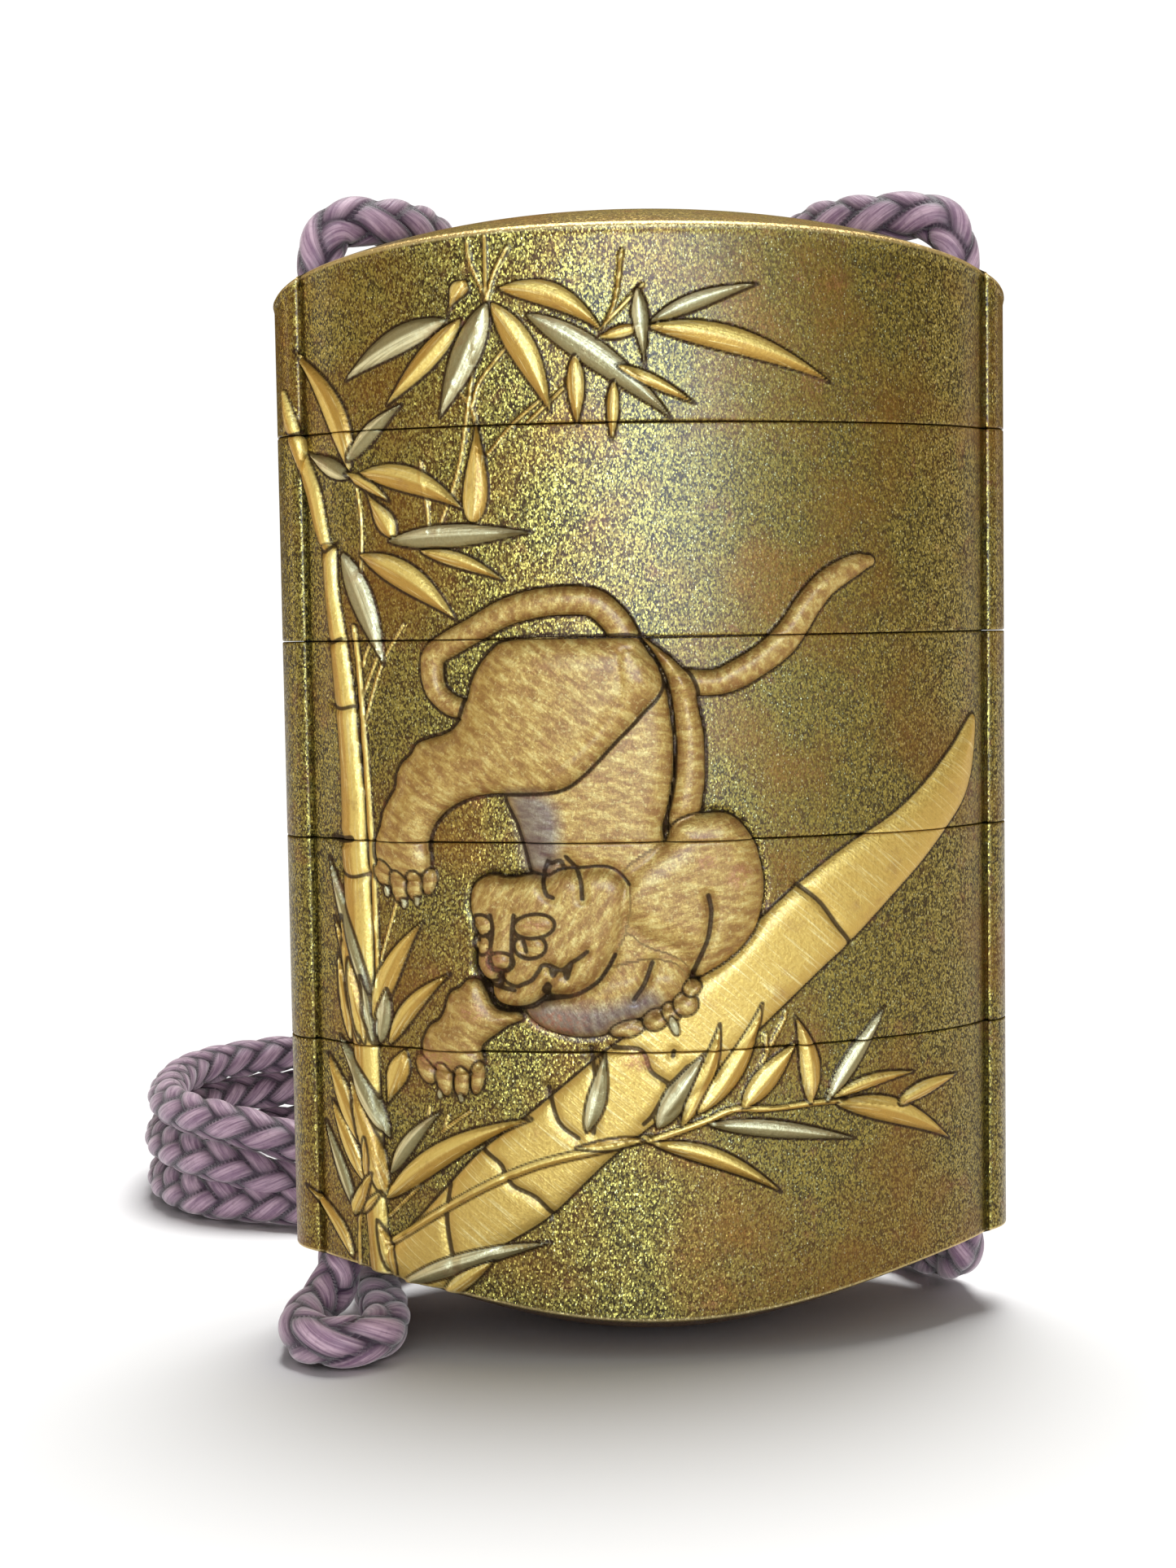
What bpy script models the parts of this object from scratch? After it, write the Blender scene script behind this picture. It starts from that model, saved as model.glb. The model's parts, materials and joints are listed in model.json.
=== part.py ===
"""Inro: a domed lid and four stacked cases in raised gold lacquer, strung on one braided silk cord.

Sizes are in millimetres and MM turns them into metres where a mesh is made. X runs across the
case, Y from the front to the back, and Z up from the surface that the case stands on.
"""

import math

import bmesh
import bpy
from mathutils import Vector

MM = 0.001

# The section of the case: two convex panels between two rounded columns
WIDTH = 57.0
PANEL_HALF_DEPTH = 13.05
PANEL_POWER = 1.82
PANEL_SHARE = 0.9632  # of the half width, as the groove and the column are
GROOVE_SHARE = 0.9193
COLUMN_WIDTH_SHARE = 0.0754
COLUMN_DEPTH_SHARE = 0.272  # of the panels' half depth
PANEL_STEPS = 11
COLUMN_ANGLES = (80, 50, 24)

# Heights of the cases at the front, from the bottom case up
BOTTOM_RIM = 2.9
LOWEST_SEAM = 23.4
CASE_HEIGHTS = (15.7, 15.1, 15.7)
LID_HEIGHT = 14.4
SEAM_GAP = 0.3

# The crowned lid and underside
TOP_CROWN = 2.7
TOP_FALL = (4.73, 1.01)
CORNER_ROUNDING = 0.9
BOTTOM_CROWN = 3.1
BOTTOM_RISE = (11.6, -4.75)
CROWN_STEPS = (19, 11)

# Walls and fits
LID_TOP_WALL = 2.0
FLOOR = 1.6
BASE_WALL = 2.2
SOCKET_WALL = 1.1
RISER_WALL = 0.9
RISER_HEIGHT = 3.2
FIT_GAP = 0.3
INSIDE_POWER = 2.2
INSIDE_STEPS = 40

# The cord and its two channels
CORD_DIAMETER = 3.9
CHANNEL_INSET = 3.6
CHANNEL_CLEARANCE = 0.3
MOUTH_FLARE = 1.1
MOUTH_DEPTH = 3.0
CHANNEL_SIDES = 16

# Raised lacquer: how far each kind of form stands above the ground
LEAF_RISE = 0.4
CULM_RISE = 0.55
BODY_RISE = 0.65
LIMB_RISE = 0.9
HEAD_RISE = 1.0
FACE_RISE = 1.2
FIGURE_BASE = 0.8  # height of the drawing's zero line
DRAWN_WIDTH = 57.0  # width and half depth of the case that the drawing and the cord's routes are for
DRAWN_HALF_DEPTH = 13.05
LEAF_STATIONS = 4
STAMP_STAGGER = 0.01  # keeps the ends of crossing stamps off one plane

HALF_WIDTH = WIDTH / 2
PANEL_REACH = PANEL_SHARE * HALF_WIDTH
GROOVE_X = GROOVE_SHARE * HALF_WIDTH
COLUMN_HALF_WIDTH = COLUMN_WIDTH_SHARE * HALF_WIDTH
COLUMN_HALF_DEPTH = COLUMN_DEPTH_SHARE * PANEL_HALF_DEPTH
CHANNEL_X = HALF_WIDTH - CHANNEL_INSET
TOP_RIM = LOWEST_SEAM + sum(CASE_HEIGHTS) + LID_HEIGHT
CHANNEL_RADIUS = CORD_DIAMETER / 2 + CHANNEL_CLEARANCE
SOCKET_HALF_WIDTH = CHANNEL_X - CHANNEL_RADIUS - SOCKET_WALL
SOCKET_HALF_DEPTH = PANEL_HALF_DEPTH - SOCKET_WALL
RISER_HALF = (SOCKET_HALF_WIDTH - FIT_GAP, SOCKET_HALF_DEPTH - FIT_GAP)
ROOM_HALF = (RISER_HALF[0] - RISER_WALL, RISER_HALF[1] - RISER_WALL)
ABOVE = TOP_RIM + 20.0
BELOW = -10.0
BESIDE = HALF_WIDTH + 20.0

# Bamboo leaves on the front: foot x, z, tip x, z, width, bend, and where along it is widest
LEAF_WIDEST = 0.4
LEAVES = (
    (-15.2, 76.9, -22.9, 72.9, 1.9, -0.5),
    (-14.1, 77.0, -19.9, 70.8, 1.6, 0.0),
    (-12.3, 78.1, -15.9, 69.7, 2.2, 0.0),
    (-12.0, 78.0, -7.8, 70.0, 2.0, 0.5),
    (-15.2, 77.1, -13.9, 79.8, 1.4, 0.3, 0.75),
    (-11.4, 79.1, -3.9, 75.6, 1.7, 1.0),
    (-9.5, 77.1, 1.0, 69.3, 2.0, 0.5),
    (-5.9, 74.2, -5.8, 68.9, 1.3, 0.0),
    (-3.2, 72.2, -3.4, 67.6, 0.9, 0.0),
    (-3.0, 73.2, 2.7, 70.4, 0.9, 0.1),
    (-0.9, 72.9, -1.4, 79.0, 1.1, 0.0, 0.62),
    (-1.1, 76.0, -4.4, 75.2, 0.9, 0.0),
    (-0.5, 76.3, 7.6, 79.2, 1.2, 0.3),
    (-0.8, 75.9, 13.0, 72.0, 1.9, 0.8),
    (-22.7, 66.2, -26.9, 75.6, 1.6, -0.8),
    (-22.6, 66.8, -18.7, 70.9, 1.2, 0.5),
    (-22.8, 65.6, -25.8, 67.7, 1.3, 0.0),
    (-21.9, 66.0, -14.3, 63.0, 1.9, 0.7),
    (-22.9, 65.7, -19.9, 63.9, 0.8, 0.1),
    (-21.6, 64.7, -19.3, 60.8, 1.4, 0.2, 0.65),
    (-20.0, 60.7, -9.4, 61.3, 1.7, 0.1, 0.35),
    (-22.0, 59.9, -15.0, 54.9, 2.0, 0.6),
    (-17.6, 60.0, -11.4, 57.7, 1.0, 0.3),
    (-13.6, 62.0, -13.2, 69.3, 1.8, -0.2, 0.3),
    (-23.4, 60.2, -20.4, 51.6, 1.6, 0.2),
    (-21.7, 26.0, -25.0, 37.0, 1.1, 0.2),
    (-22.4, 22.8, -24.7, 32.3, 1.0, 0.2),
    (-21.6, 24.4, -17.9, 32.3, 1.5, 0.8),
    (-21.3, 22.6, -20.6, 27.2, 0.9, 0.0),
    (-20.6, 22.6, -15.9, 28.4, 1.3, 0.7),
    (-20.9, 18.0, -19.4, 22.6, 1.7, -0.1, 0.6),
    (-20.7, 15.6, -24.4, 23.1, 1.3, 0.0),
    (-22.9, 14.8, -25.4, 21.6, 1.3, 0.0),
    (-21.1, 11.0, -23.8, 19.9, 1.5, -0.3),
    (-22.8, 11.9, -25.2, 18.0, 1.1, 0.0),
    (-23.6, 9.0, -25.8, 16.3, 0.8, 0.0),
    (-23.6, 9.2, -21.8, 12.9, 0.9, 0.3),
    (-23.8, 5.8, -27.5, 10.9, 1.0, -0.7),
    (-20.7, 12.8, -16.8, 17.9, 1.1, 0.4),
    (-21.0, 10.9, -10.0, 17.6, 1.8, 1.0, 0.35),
    (-20.4, 4.6, -21.6, 9.2, 0.9, -0.1),
    (-20.1, 4.3, -8.9, 8.2, 1.4, 0.6, 0.35),
    (-0.8, 16.8, 2.7, 22.4, 1.8, -0.1),
    (1.0, 16.9, 3.8, 24.6, 1.4, -0.6, 0.5),
    (2.2, 17.8, 7.1, 26.0, 1.6, -0.9, 0.5),
    (5.6, 18.0, 9.9, 23.0, 1.8, 0.1),
    (10.9, 18.1, 9.8, 24.8, 1.5, -0.6),
    (12.2, 18.2, 17.0, 25.1, 1.3, 0.1),
    (12.7, 18.3, 19.6, 19.7, 1.0, 0.5),
    (13.0, 17.9, 22.5, 14.1, 1.8, 0.9),
    (17.8, 17.4, 23.4, 19.0, 1.2, 0.3, 0.5),
    (3.0, 17.1, 14.6, 15.1, 1.2, 0.3, 0.35),
    (-1.2, 15.8, 8.6, 11.5, 1.4, 0.8),
    (-6.0, 16.7, -4.6, 22.7, 1.2, -0.3, 0.5),
)

# A plainer spray on the back, in the same form
BACK_LEAVES = (
    (9.0, 52.0, 17.5, 48.5, 1.8, 0.8),
    (9.0, 52.0, 2.0, 46.0, 1.7, -0.5),
    (8.5, 53.0, 16.0, 58.5, 1.6, 0.5),
    (8.5, 53.5, 3.0, 60.5, 1.7, 0.3),
    (10.0, 26.0, 18.0, 21.5, 1.8, 0.7),
    (10.0, 26.0, 3.5, 19.5, 1.7, -0.4),
    (9.5, 27.0, 3.5, 33.0, 1.6, 0.3),
)

# Stems and the tiger's tail: x, z and width along each
LEFT_CULM_TOP = (
    (-27.6, 72.4, 0.3), (-27.2, 69.8, 0.9), (-26.3, 66.8, 1.1), (-25.3, 63.6, 1.1), (-24.7, 60.6, 0.9),
)
LEFT_CULM = (
    (-24.5, 60.2, 1.0), (-24.1, 56.0, 1.2), (-23.5, 50.0, 1.45), (-23.0, 43.0, 1.6), (-22.9, 35.8, 1.9),
    (-22.4, 24.0, 1.9), (-21.8, 10.0, 1.6), (-21.5, 4.2, 1.4),
)
SIDE_STEM = ((-22.8, 53.4, 0.5), (-22.1, 47.5, 0.5), (-21.6, 41.0, 0.5), (-21.5, 30.0, 0.5))
SPRAY_STEM = (
    (-20.8, 7.5, 0.6), (-15.0, 11.6, 0.6), (-8.0, 14.7, 0.6), (-1.0, 16.2, 0.6), (5.0, 18.0, 0.5),
    (13.4, 18.1, 0.4),
)
BIG_CULM_EDGES = (
    (24.7, 46.8), (22.0, 43.4), (18.0, 39.9), (13.0, 36.8), (9.0, 33.9), (2.5, 28.1), (-5.0, 22.4),
    (-11.0, 17.3), (-17.0, 11.3), (-20.6, 7.2), (-19.0, 3.2), (-15.0, 5.6), (-9.0, 10.1), (-3.5, 15.2),
    (2.0, 19.6), (8.0, 24.9), (14.2, 30.2), (18.0, 33.8), (22.0, 37.9), (25.0, 43.0),
)
BACK_CULM = ((12.5, 4.0, 3.2), (11.0, 20.0, 3.0), (10.0, 39.0, 2.8), (9.6, 60.0, 2.4), (9.8, 74.0, 1.8))
TAIL_LOOP = (
    (-2.0, 53.0, 2.2), (-3.3, 54.7, 2.1), (-5.4, 55.9, 2.1), (-8.0, 56.1, 2.1), (-11.0, 55.5, 2.0),
    (-13.8, 54.0, 1.9), (-15.9, 52.6, 1.8), (-16.8, 50.8, 1.6), (-16.2, 49.2, 1.6), (-14.8, 48.2, 1.5),
)
TAIL_END = (
    (2.0, 50.2, 2.2), (5.0, 50.4, 2.1), (8.0, 51.9, 2.1), (10.2, 54.1, 2.0), (12.2, 56.6, 1.9),
    (14.4, 58.3, 1.5), (15.9, 59.0, 0.8),
)
BACK_BAND = (
    (-1.0, 53.3, 0.8), (0.6, 51.8, 1.6), (1.6, 49.8, 2.0), (2.0, 46.5, 2.0), (2.0, 43.0, 2.0),
    (1.6, 40.2, 1.8),
)

# The tiger's body: closed outlines, x and z
TORSO = (
    (-1.0, 52.6), (0.2, 50.2), (0.8, 46.0), (0.7, 42.0), (0.2, 38.6), (2.0, 34.0), (1.6, 28.4), (0.3, 26.2),
    (-3.5, 24.6), (-6.5, 23.8), (-9.5, 24.8), (-10.6, 27.0), (-9.6, 36.0), (-10.9, 40.5), (-11.5, 42.3),
    (-6.0, 46.0),
)
HAUNCH = (
    (-11.5, 53.3), (-6.0, 53.7), (-1.6, 53.3), (-0.3, 51.3), (0.2, 49.0), (-1.2, 48.0), (-3.5, 45.8),
    (-5.8, 43.4), (-8.5, 42.1), (-13.0, 41.9), (-15.5, 41.0), (-17.0, 39.3), (-17.3, 37.3), (-16.8, 35.3),
    (-17.6, 33.9), (-18.8, 33.8), (-19.9, 34.0), (-20.8, 35.2), (-21.3, 37.2), (-20.8, 40.2),
    (-19.7, 42.6), (-19.2, 44.2), (-17.6, 46.0), (-15.4, 46.8), (-14.3, 49.0), (-13.2, 51.6),
)
SHOULDER = (
    (0.0, 38.4), (1.0, 39.8), (3.0, 40.4), (4.8, 40.3), (6.4, 38.9), (7.3, 36.6), (7.5, 34.2), (6.8, 31.6),
    (5.0, 29.6), (2.3, 28.0), (-1.5, 28.6), (-4.0, 32.0), (-3.0, 36.0),
)
HEAD = (
    (-13.4, 35.8), (-11.5, 35.9), (-8.9, 36.1), (-7.5, 36.9), (-6.0, 36.4), (-4.0, 36.5), (-2.7, 35.4),
    (-3.2, 31.5), (-4.6, 28.6), (-6.4, 27.1), (-8.8, 26.8), (-9.8, 26.0), (-11.6, 25.9), (-12.8, 27.0),
    (-13.2, 28.0), (-13.9, 29.3), (-13.8, 31.6), (-14.3, 33.6),
)
FOREARM = (
    (-14.6, 28.0), (-13.4, 27.7), (-12.5, 25.8), (-10.8, 25.5), (-11.2, 24.7), (-13.2, 23.4), (-13.4, 20.4),
    (-14.0, 19.0), (-16.2, 19.0), (-18.2, 20.8), (-18.5, 22.4), (-17.6, 24.3), (-16.3, 26.4),
)
NEAR_PAW = (
    (-4.1, 24.0), (-2.8, 25.1), (-0.9, 25.9), (0.6, 27.0), (1.9, 27.8), (2.4, 26.8), (1.6, 25.2), (0.5, 24.0),
    (-1.5, 23.8),
)
# Raised features of the face and the two ears: centre x, z, half width, half height, turn in degrees
FACE = (
    (-13.3, 32.2, 0.75, 0.65, -20), (-9.5, 32.5, 1.45, 0.75, 8), (-9.8, 30.9, 1.0, 0.65, 0),
    (-12.0, 30.6, 0.85, 1.8, 0), (-10.3, 28.9, 1.4, 0.95, 20), (-13.2, 28.9, 0.7, 0.9, 0),
    (-10.9, 26.8, 1.8, 0.75, -4), (-8.0, 35.6, 0.7, 1.1, 0), (-6.6, 35.5, 0.6, 1.3, -12),
)

# The route of the cord, in stretches that meet at the channels' mouths and at the coil
BASE_ROUTE = (
    (-24.9, 0.0, 7.0), (-24.9, 0.0, 5.7), (-25.5, -1.4, 3.6), (-26.6, -3.3, 2.4), (-27.5, -5.8, 2.05),
    (-27.6, -8.8, 2.05), (-26.4, -11.6, 2.05), (-24.3, -12.7, 2.05), (-22.3, -11.3, 2.05),
    (-21.5, -8.3, 2.05), (-21.6, -4.5, 2.05), (-22.2, 0.0, 2.05), (-22.6, 5.0, 2.05), (-22.0, 10.0, 2.05),
    (-19.2, 14.2, 2.05), (-13.5, 16.4, 2.05), (-6.0, 16.9, 2.05), (2.0, 16.8, 2.05), (9.5, 16.2, 2.05),
    (16.0, 14.3, 2.05), (20.8, 11.2, 2.05), (23.6, 7.2, 2.15), (24.9, 3.3, 2.7), (25.1, 1.0, 4.1),
    (24.9, 0.0, 5.9), (24.9, 0.0, 7.0),
)
LEFT_TAIL_ROUTE = (
    (-24.9, 0.0, 81.6), (-24.9, 0.0, 83.0), (-24.7, 0.2, 84.7), (-23.9, 0.8, 86.1), (-22.4, 1.5, 86.8),
    (-20.4, 2.6, 86.9), (-18.6, 4.3, 87.0), (-17.2, 6.6, 86.95), (-16.3, 8.8, 86.75),
    (-15.7, 10.9, 86.1), (-15.4, 12.5, 84.8), (-15.2, 13.3, 82.6), (-15.1, 13.6, 79.0),
    (-15.0, 13.6, 72.0), (-14.7, 13.6, 62.0), (-14.5, 13.7, 50.0), (-14.4, 14.0, 38.0),
    (-14.6, 14.6, 26.0), (-15.2, 16.4, 15.0), (-16.6, 19.6, 8.2), (-19.2, 23.0, 4.4), (-21.6, 25.4, 2.6),
)
RIGHT_TAIL_ROUTE = (
    (24.9, 0.0, 81.6), (24.9, 0.0, 83.0), (24.8, 0.2, 84.8), (24.0, 0.7, 86.3), (22.4, 1.4, 87.0),
    (20.4, 2.4, 87.1), (18.4, 3.9, 87.2), (16.4, 6.0, 87.3), (14.9, 8.6, 87.1), (14.1, 11.2, 86.4),
    (13.8, 13.1, 85.0), (13.6, 14.0, 82.6), (13.4, 14.3, 79.0), (13.3, 14.3, 72.0), (13.2, 14.3, 62.0),
    (13.0, 14.3, 50.0), (12.6, 14.4, 38.0), (12.1, 15.0, 27.0), (11.2, 16.8, 16.0), (9.8, 20.2, 8.4),
    (8.0, 24.6, 4.0), (6.6, 28.2, 2.4), (6.0, 31.6, 2.2), (5.8, 33.2, 2.2),
)
TUBE_STEP = 7.0
BEND_STEP = 3.0
BEND_TURN = math.radians(24)
CURVE_STEPS = 12
COIL_CENTRE = (-23.5, 49.0)
COIL_HALF = (20.5, 18.8)
COIL_POWER = 2.5
COIL_LAYERS = 3
COIL_SLACK = 0.5
COIL_STEPS = 28
KNOT_CENTRE = (4.6, 38.4, 4.0)
KNOT_HALF = (4.6, 4.2, 3.7)


def clear_scene():
    for thing in list(bpy.data.objects):
        bpy.data.objects.remove(thing, do_unlink=True)


def new_collection(name):
    made = bpy.data.collections.new(name)
    bpy.context.scene.collection.children.link(made)
    return made


def material(name, colour, roughness, metallic):
    made = bpy.data.materials.new(name)
    made.use_nodes = True
    shader = made.node_tree.nodes["Principled BSDF"]
    shader.inputs["Base Color"].default_value = (*colour, 1.0)
    shader.inputs["Roughness"].default_value = roughness
    shader.inputs["Metallic"].default_value = metallic
    return made


def object_from(name, shape, collection, finish=None):
    """An object made from a bmesh in millimetres, with its faces turned outwards."""
    bmesh.ops.recalc_face_normals(shape, faces=shape.faces)
    bmesh.ops.scale(shape, vec=(MM, MM, MM), verts=shape.verts)
    mesh = bpy.data.meshes.new(name)
    shape.to_mesh(mesh)
    shape.free()
    made = bpy.data.objects.new(name, mesh)
    collection.objects.link(made)
    if finish:
        mesh.materials.append(finish)
    return made


def guide_from(name, shape, guides):
    made = object_from(name, shape, guides)
    made.hide_render = True
    made.display_type = "WIRE"
    return made


def boolean(target, operation, other, self_crossing=False):
    step = target.modifiers.new(f"{operation} {other.name}", "BOOLEAN")
    step.operation = operation
    step.object = other
    step.solver = "EXACT"
    step.use_self = self_crossing


def add_extrusion(shape, outline, move):
    """Adds a closed prism to a bmesh: a flat outline of 3-D points, drawn out along a vector."""
    corners = [shape.verts.new(point) for point in outline]
    face = shape.faces.new(corners)
    drawn = bmesh.ops.extrude_face_region(shape, geom=[face])["geom"]
    ends = [item for item in drawn if isinstance(item, bmesh.types.BMVert)]
    bmesh.ops.translate(shape, vec=move, verts=ends)


def upright_prism(outline, low, high):
    shape = bmesh.new()
    add_extrusion(shape, [(x, y, low) for x, y in outline], (0, 0, high - low))
    return shape


def superellipse(half_x, half_y, power, steps, centre=(0.0, 0.0)):
    points = []
    for step in range(steps):
        angle = 2 * math.pi * step / steps
        across, along = math.cos(angle), math.sin(angle)
        points.append((
            centre[0] + half_x * math.copysign(abs(across) ** (2 / power), across),
            centre[1] + half_y * math.copysign(abs(along) ** (2 / power), along),
        ))
    return points


def panel_depth(x):
    share = min(abs(x) / PANEL_REACH, 1.0)
    return PANEL_HALF_DEPTH * (1 - share**PANEL_POWER) ** (1 / PANEL_POWER)


def section(offset=0.0):
    """The outline of the case seen from above, moved outwards by an offset."""
    quarter = []
    for step in range(PANEL_STEPS + 1):
        x = GROOVE_X * math.sin(math.pi / 2 * step / PANEL_STEPS)
        quarter.append((x, panel_depth(x)))
    for degrees in COLUMN_ANGLES:
        angle = math.radians(degrees)
        quarter.append((
            HALF_WIDTH - COLUMN_HALF_WIDTH * (1 - math.cos(angle)),
            COLUMN_HALF_DEPTH * math.sin(angle),
        ))
    side = [(HALF_WIDTH, 0.0)]
    back_right = quarter[::-1]
    back_left = [(-x, y) for x, y in quarter[1:]]
    front_left = [(-x, -y) for x, y in back_right]
    front_right = [(x, -y) for x, y in quarter[1:]]
    loop = side + back_right + back_left + [(-HALF_WIDTH, 0.0)] + front_left + front_right
    if not offset:
        return loop
    moved = []
    for index, (x, y) in enumerate(loop):
        before, after = loop[index - 1], loop[(index + 1) % len(loop)]
        run = Vector((after[0] - before[0], after[1] - before[1])).normalized()
        moved.append((x + offset * run.y, y - offset * run.x))
    return moved


def top_crown(x, y):
    u = abs(x) / HALF_WIDTH
    fall = TOP_FALL[0] * u**2 + TOP_FALL[1] * u**4 + CORNER_ROUNDING * u**30
    return TOP_RIM + TOP_CROWN - fall - TOP_CROWN * (y / PANEL_HALF_DEPTH) ** 2


def bottom_crown(x, y):
    """The underside: crowned, with a flat spot where it stands."""
    u = abs(x) / HALF_WIDTH
    rise = BOTTOM_RISE[0] * u**2 + BOTTOM_RISE[1] * u**4
    crown = BOTTOM_RIM - BOTTOM_CROWN + rise + BOTTOM_CROWN * (y / PANEL_HALF_DEPTH) ** 2
    return max(0.0, crown)


def crown_cutter(name, height_at, beyond, shift, guides):
    """A block with one curved face, from height_at moved by shift, and one flat face at beyond."""
    shape = bmesh.new()
    columns, rows = CROWN_STEPS
    grid = bmesh.ops.create_grid(shape, x_segments=columns, y_segments=rows, size=1.0)["verts"]
    for corner in grid:
        x = 1.06 * HALF_WIDTH * math.sin(math.pi / 2 * corner.co.x)
        y = 1.2 * PANEL_HALF_DEPTH * corner.co.y
        corner.co = (x, y, height_at(x, y) + shift)
    drawn = bmesh.ops.extrude_face_region(shape, geom=list(shape.faces))["geom"]
    for item in drawn:
        if isinstance(item, bmesh.types.BMVert):
            item.co.z = beyond
    return guide_from(name, shape, guides)


def leaf_outline(foot_x, foot_z, tip_x, tip_z, width, bend, widest=LEAF_WIDEST):
    foot, tip = Vector((foot_x, foot_z)), Vector((tip_x, tip_z))
    along = (tip - foot).normalized()
    across = Vector((-along.y, along.x))
    power = math.log(0.5) / math.log(widest)
    left, right = [], []
    for station in range(1, LEAF_STATIONS + 1):
        t = station / (LEAF_STATIONS + 1)
        middle = foot.lerp(tip, t) + across * bend * 4 * t * (1 - t)
        half = width / 2 * math.sin(math.pi * t**power)
        left.append(middle + across * half)
        right.append(middle - across * half)
    return [foot, *right, tip, *left[::-1]]


def ribbon_outline(spine):
    """The outline of a stem or tail, from rows of x, z and width along it."""
    left, right = [], []
    for index, (x, z, width) in enumerate(spine):
        before, after = spine[max(index - 1, 0)], spine[min(index + 1, len(spine) - 1)]
        along = Vector((after[0] - before[0], after[1] - before[1])).normalized()
        left.append(Vector((x - along.y * width / 2, z + along.x * width / 2)))
        right.append(Vector((x + along.y * width / 2, z - along.x * width / 2)))
    return right + left[::-1]


def oval_outline(x, z, half_width, half_height, turn):
    angle = math.radians(turn)
    points = []
    for px, pz in superellipse(half_width, half_height, 2.0, 8):
        points.append((
            x + px * math.cos(angle) - pz * math.sin(angle),
            z + px * math.sin(angle) + pz * math.cos(angle),
        ))
    return points


def raised(name, outlines, rise, guides, side=-1):
    """Forms that stand above the ground: outlines pushed through a skin at that height."""
    stamps = bmesh.new()
    for index, outline in enumerate(outlines):
        start = 2.0 - STAMP_STAGGER * index
        flat = [(x * WIDTH / DRAWN_WIDTH, side * start, z + FIGURE_BASE) for x, z in outline]
        add_extrusion(stamps, flat, (0, side * (PANEL_HALF_DEPTH + 4.0), 0))
    stamp = guide_from(f"{name}_stamps", stamps, guides)
    skin = guide_from(name, upright_prism(section(rise), BOTTOM_RIM - 5.0, TOP_RIM + 5.0), guides)
    boolean(skin, "INTERSECT", stamp, self_crossing=True)
    return skin


def make_body(guides):
    """The whole case before it is cut into its lid and cases, with its raised figures."""
    body = guide_from("body", upright_prism(section(), BELOW, ABOVE), guides)
    stems = [ribbon_outline(row) for row in (LEFT_CULM_TOP, LEFT_CULM, SIDE_STEM, SPRAY_STEM)]
    tail = [ribbon_outline(row) for row in (TAIL_LOOP, TAIL_END, BACK_BAND)]
    back = [leaf_outline(*row) for row in BACK_LEAVES] + [ribbon_outline(BACK_CULM)]
    layers = (
        raised("front_leaves", [leaf_outline(*row) for row in LEAVES], LEAF_RISE, guides),
        raised("culms", [*stems, BIG_CULM_EDGES], CULM_RISE, guides),
        raised("tails_and_torso", [*tail, TORSO], BODY_RISE, guides),
        raised("limbs", [HAUNCH, SHOULDER, FOREARM, NEAR_PAW], LIMB_RISE, guides),
        raised("head", [HEAD], HEAD_RISE, guides),
        raised("face", [oval_outline(*row) for row in FACE], FACE_RISE, guides),
        raised("back_leaves", back, LEAF_RISE, guides, side=1),
    )
    for layer in layers:
        boolean(body, "UNION", layer)
    boolean(body, "DIFFERENCE", crown_cutter("lid_crown", top_crown, ABOVE + 1, 0.0, guides))
    boolean(body, "DIFFERENCE", crown_cutter("base_crown", bottom_crown, BELOW - 1, 0.0, guides))
    return body


def add_turned(shape, x, rows):
    """Adds a closed turned shape about an upright axis at x, from rows of height and radius."""
    radius = rows[0][1]
    ring = bmesh.ops.create_circle(shape, cap_ends=True, radius=radius, segments=CHANNEL_SIDES)["verts"]
    bmesh.ops.translate(shape, vec=(x, 0, rows[0][0]), verts=ring)
    foot = cap = ring[0].link_faces[0]
    for height, wanted in rows[1:]:
        drawn = bmesh.ops.extrude_face_region(shape, geom=[cap])["geom"]
        if cap is not foot:
            bmesh.ops.delete(shape, geom=[cap], context="FACES_ONLY")
        cap = next(item for item in drawn if isinstance(item, bmesh.types.BMFace))
        for corner in cap.verts:
            corner.co = (x + (corner.co.x - x) * wanted / radius, corner.co.y * wanted / radius, height)
        radius = wanted


def make_channels(guides):
    """Both cord channels, flared at their mouths."""
    shape = bmesh.new()
    wide = CHANNEL_RADIUS + 2 * MOUTH_FLARE
    low, high = bottom_crown(CHANNEL_X, 0.0), top_crown(CHANNEL_X, 0.0)
    rows = (
        (BELOW, wide), (low - MOUTH_DEPTH, wide), (low + MOUTH_DEPTH, CHANNEL_RADIUS),
        (high - MOUTH_DEPTH, CHANNEL_RADIUS), (high + MOUTH_DEPTH, wide), (ABOVE, wide),
    )
    for side in (-1, 1):
        add_turned(shape, side * CHANNEL_X, rows)
    return guide_from("channels", shape, guides)


def inside_prism(name, halves, low, high, guides):
    outline = superellipse(*halves, INSIDE_POWER, INSIDE_STEPS)
    return guide_from(name, upright_prism(outline, low, high), guides)


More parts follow.
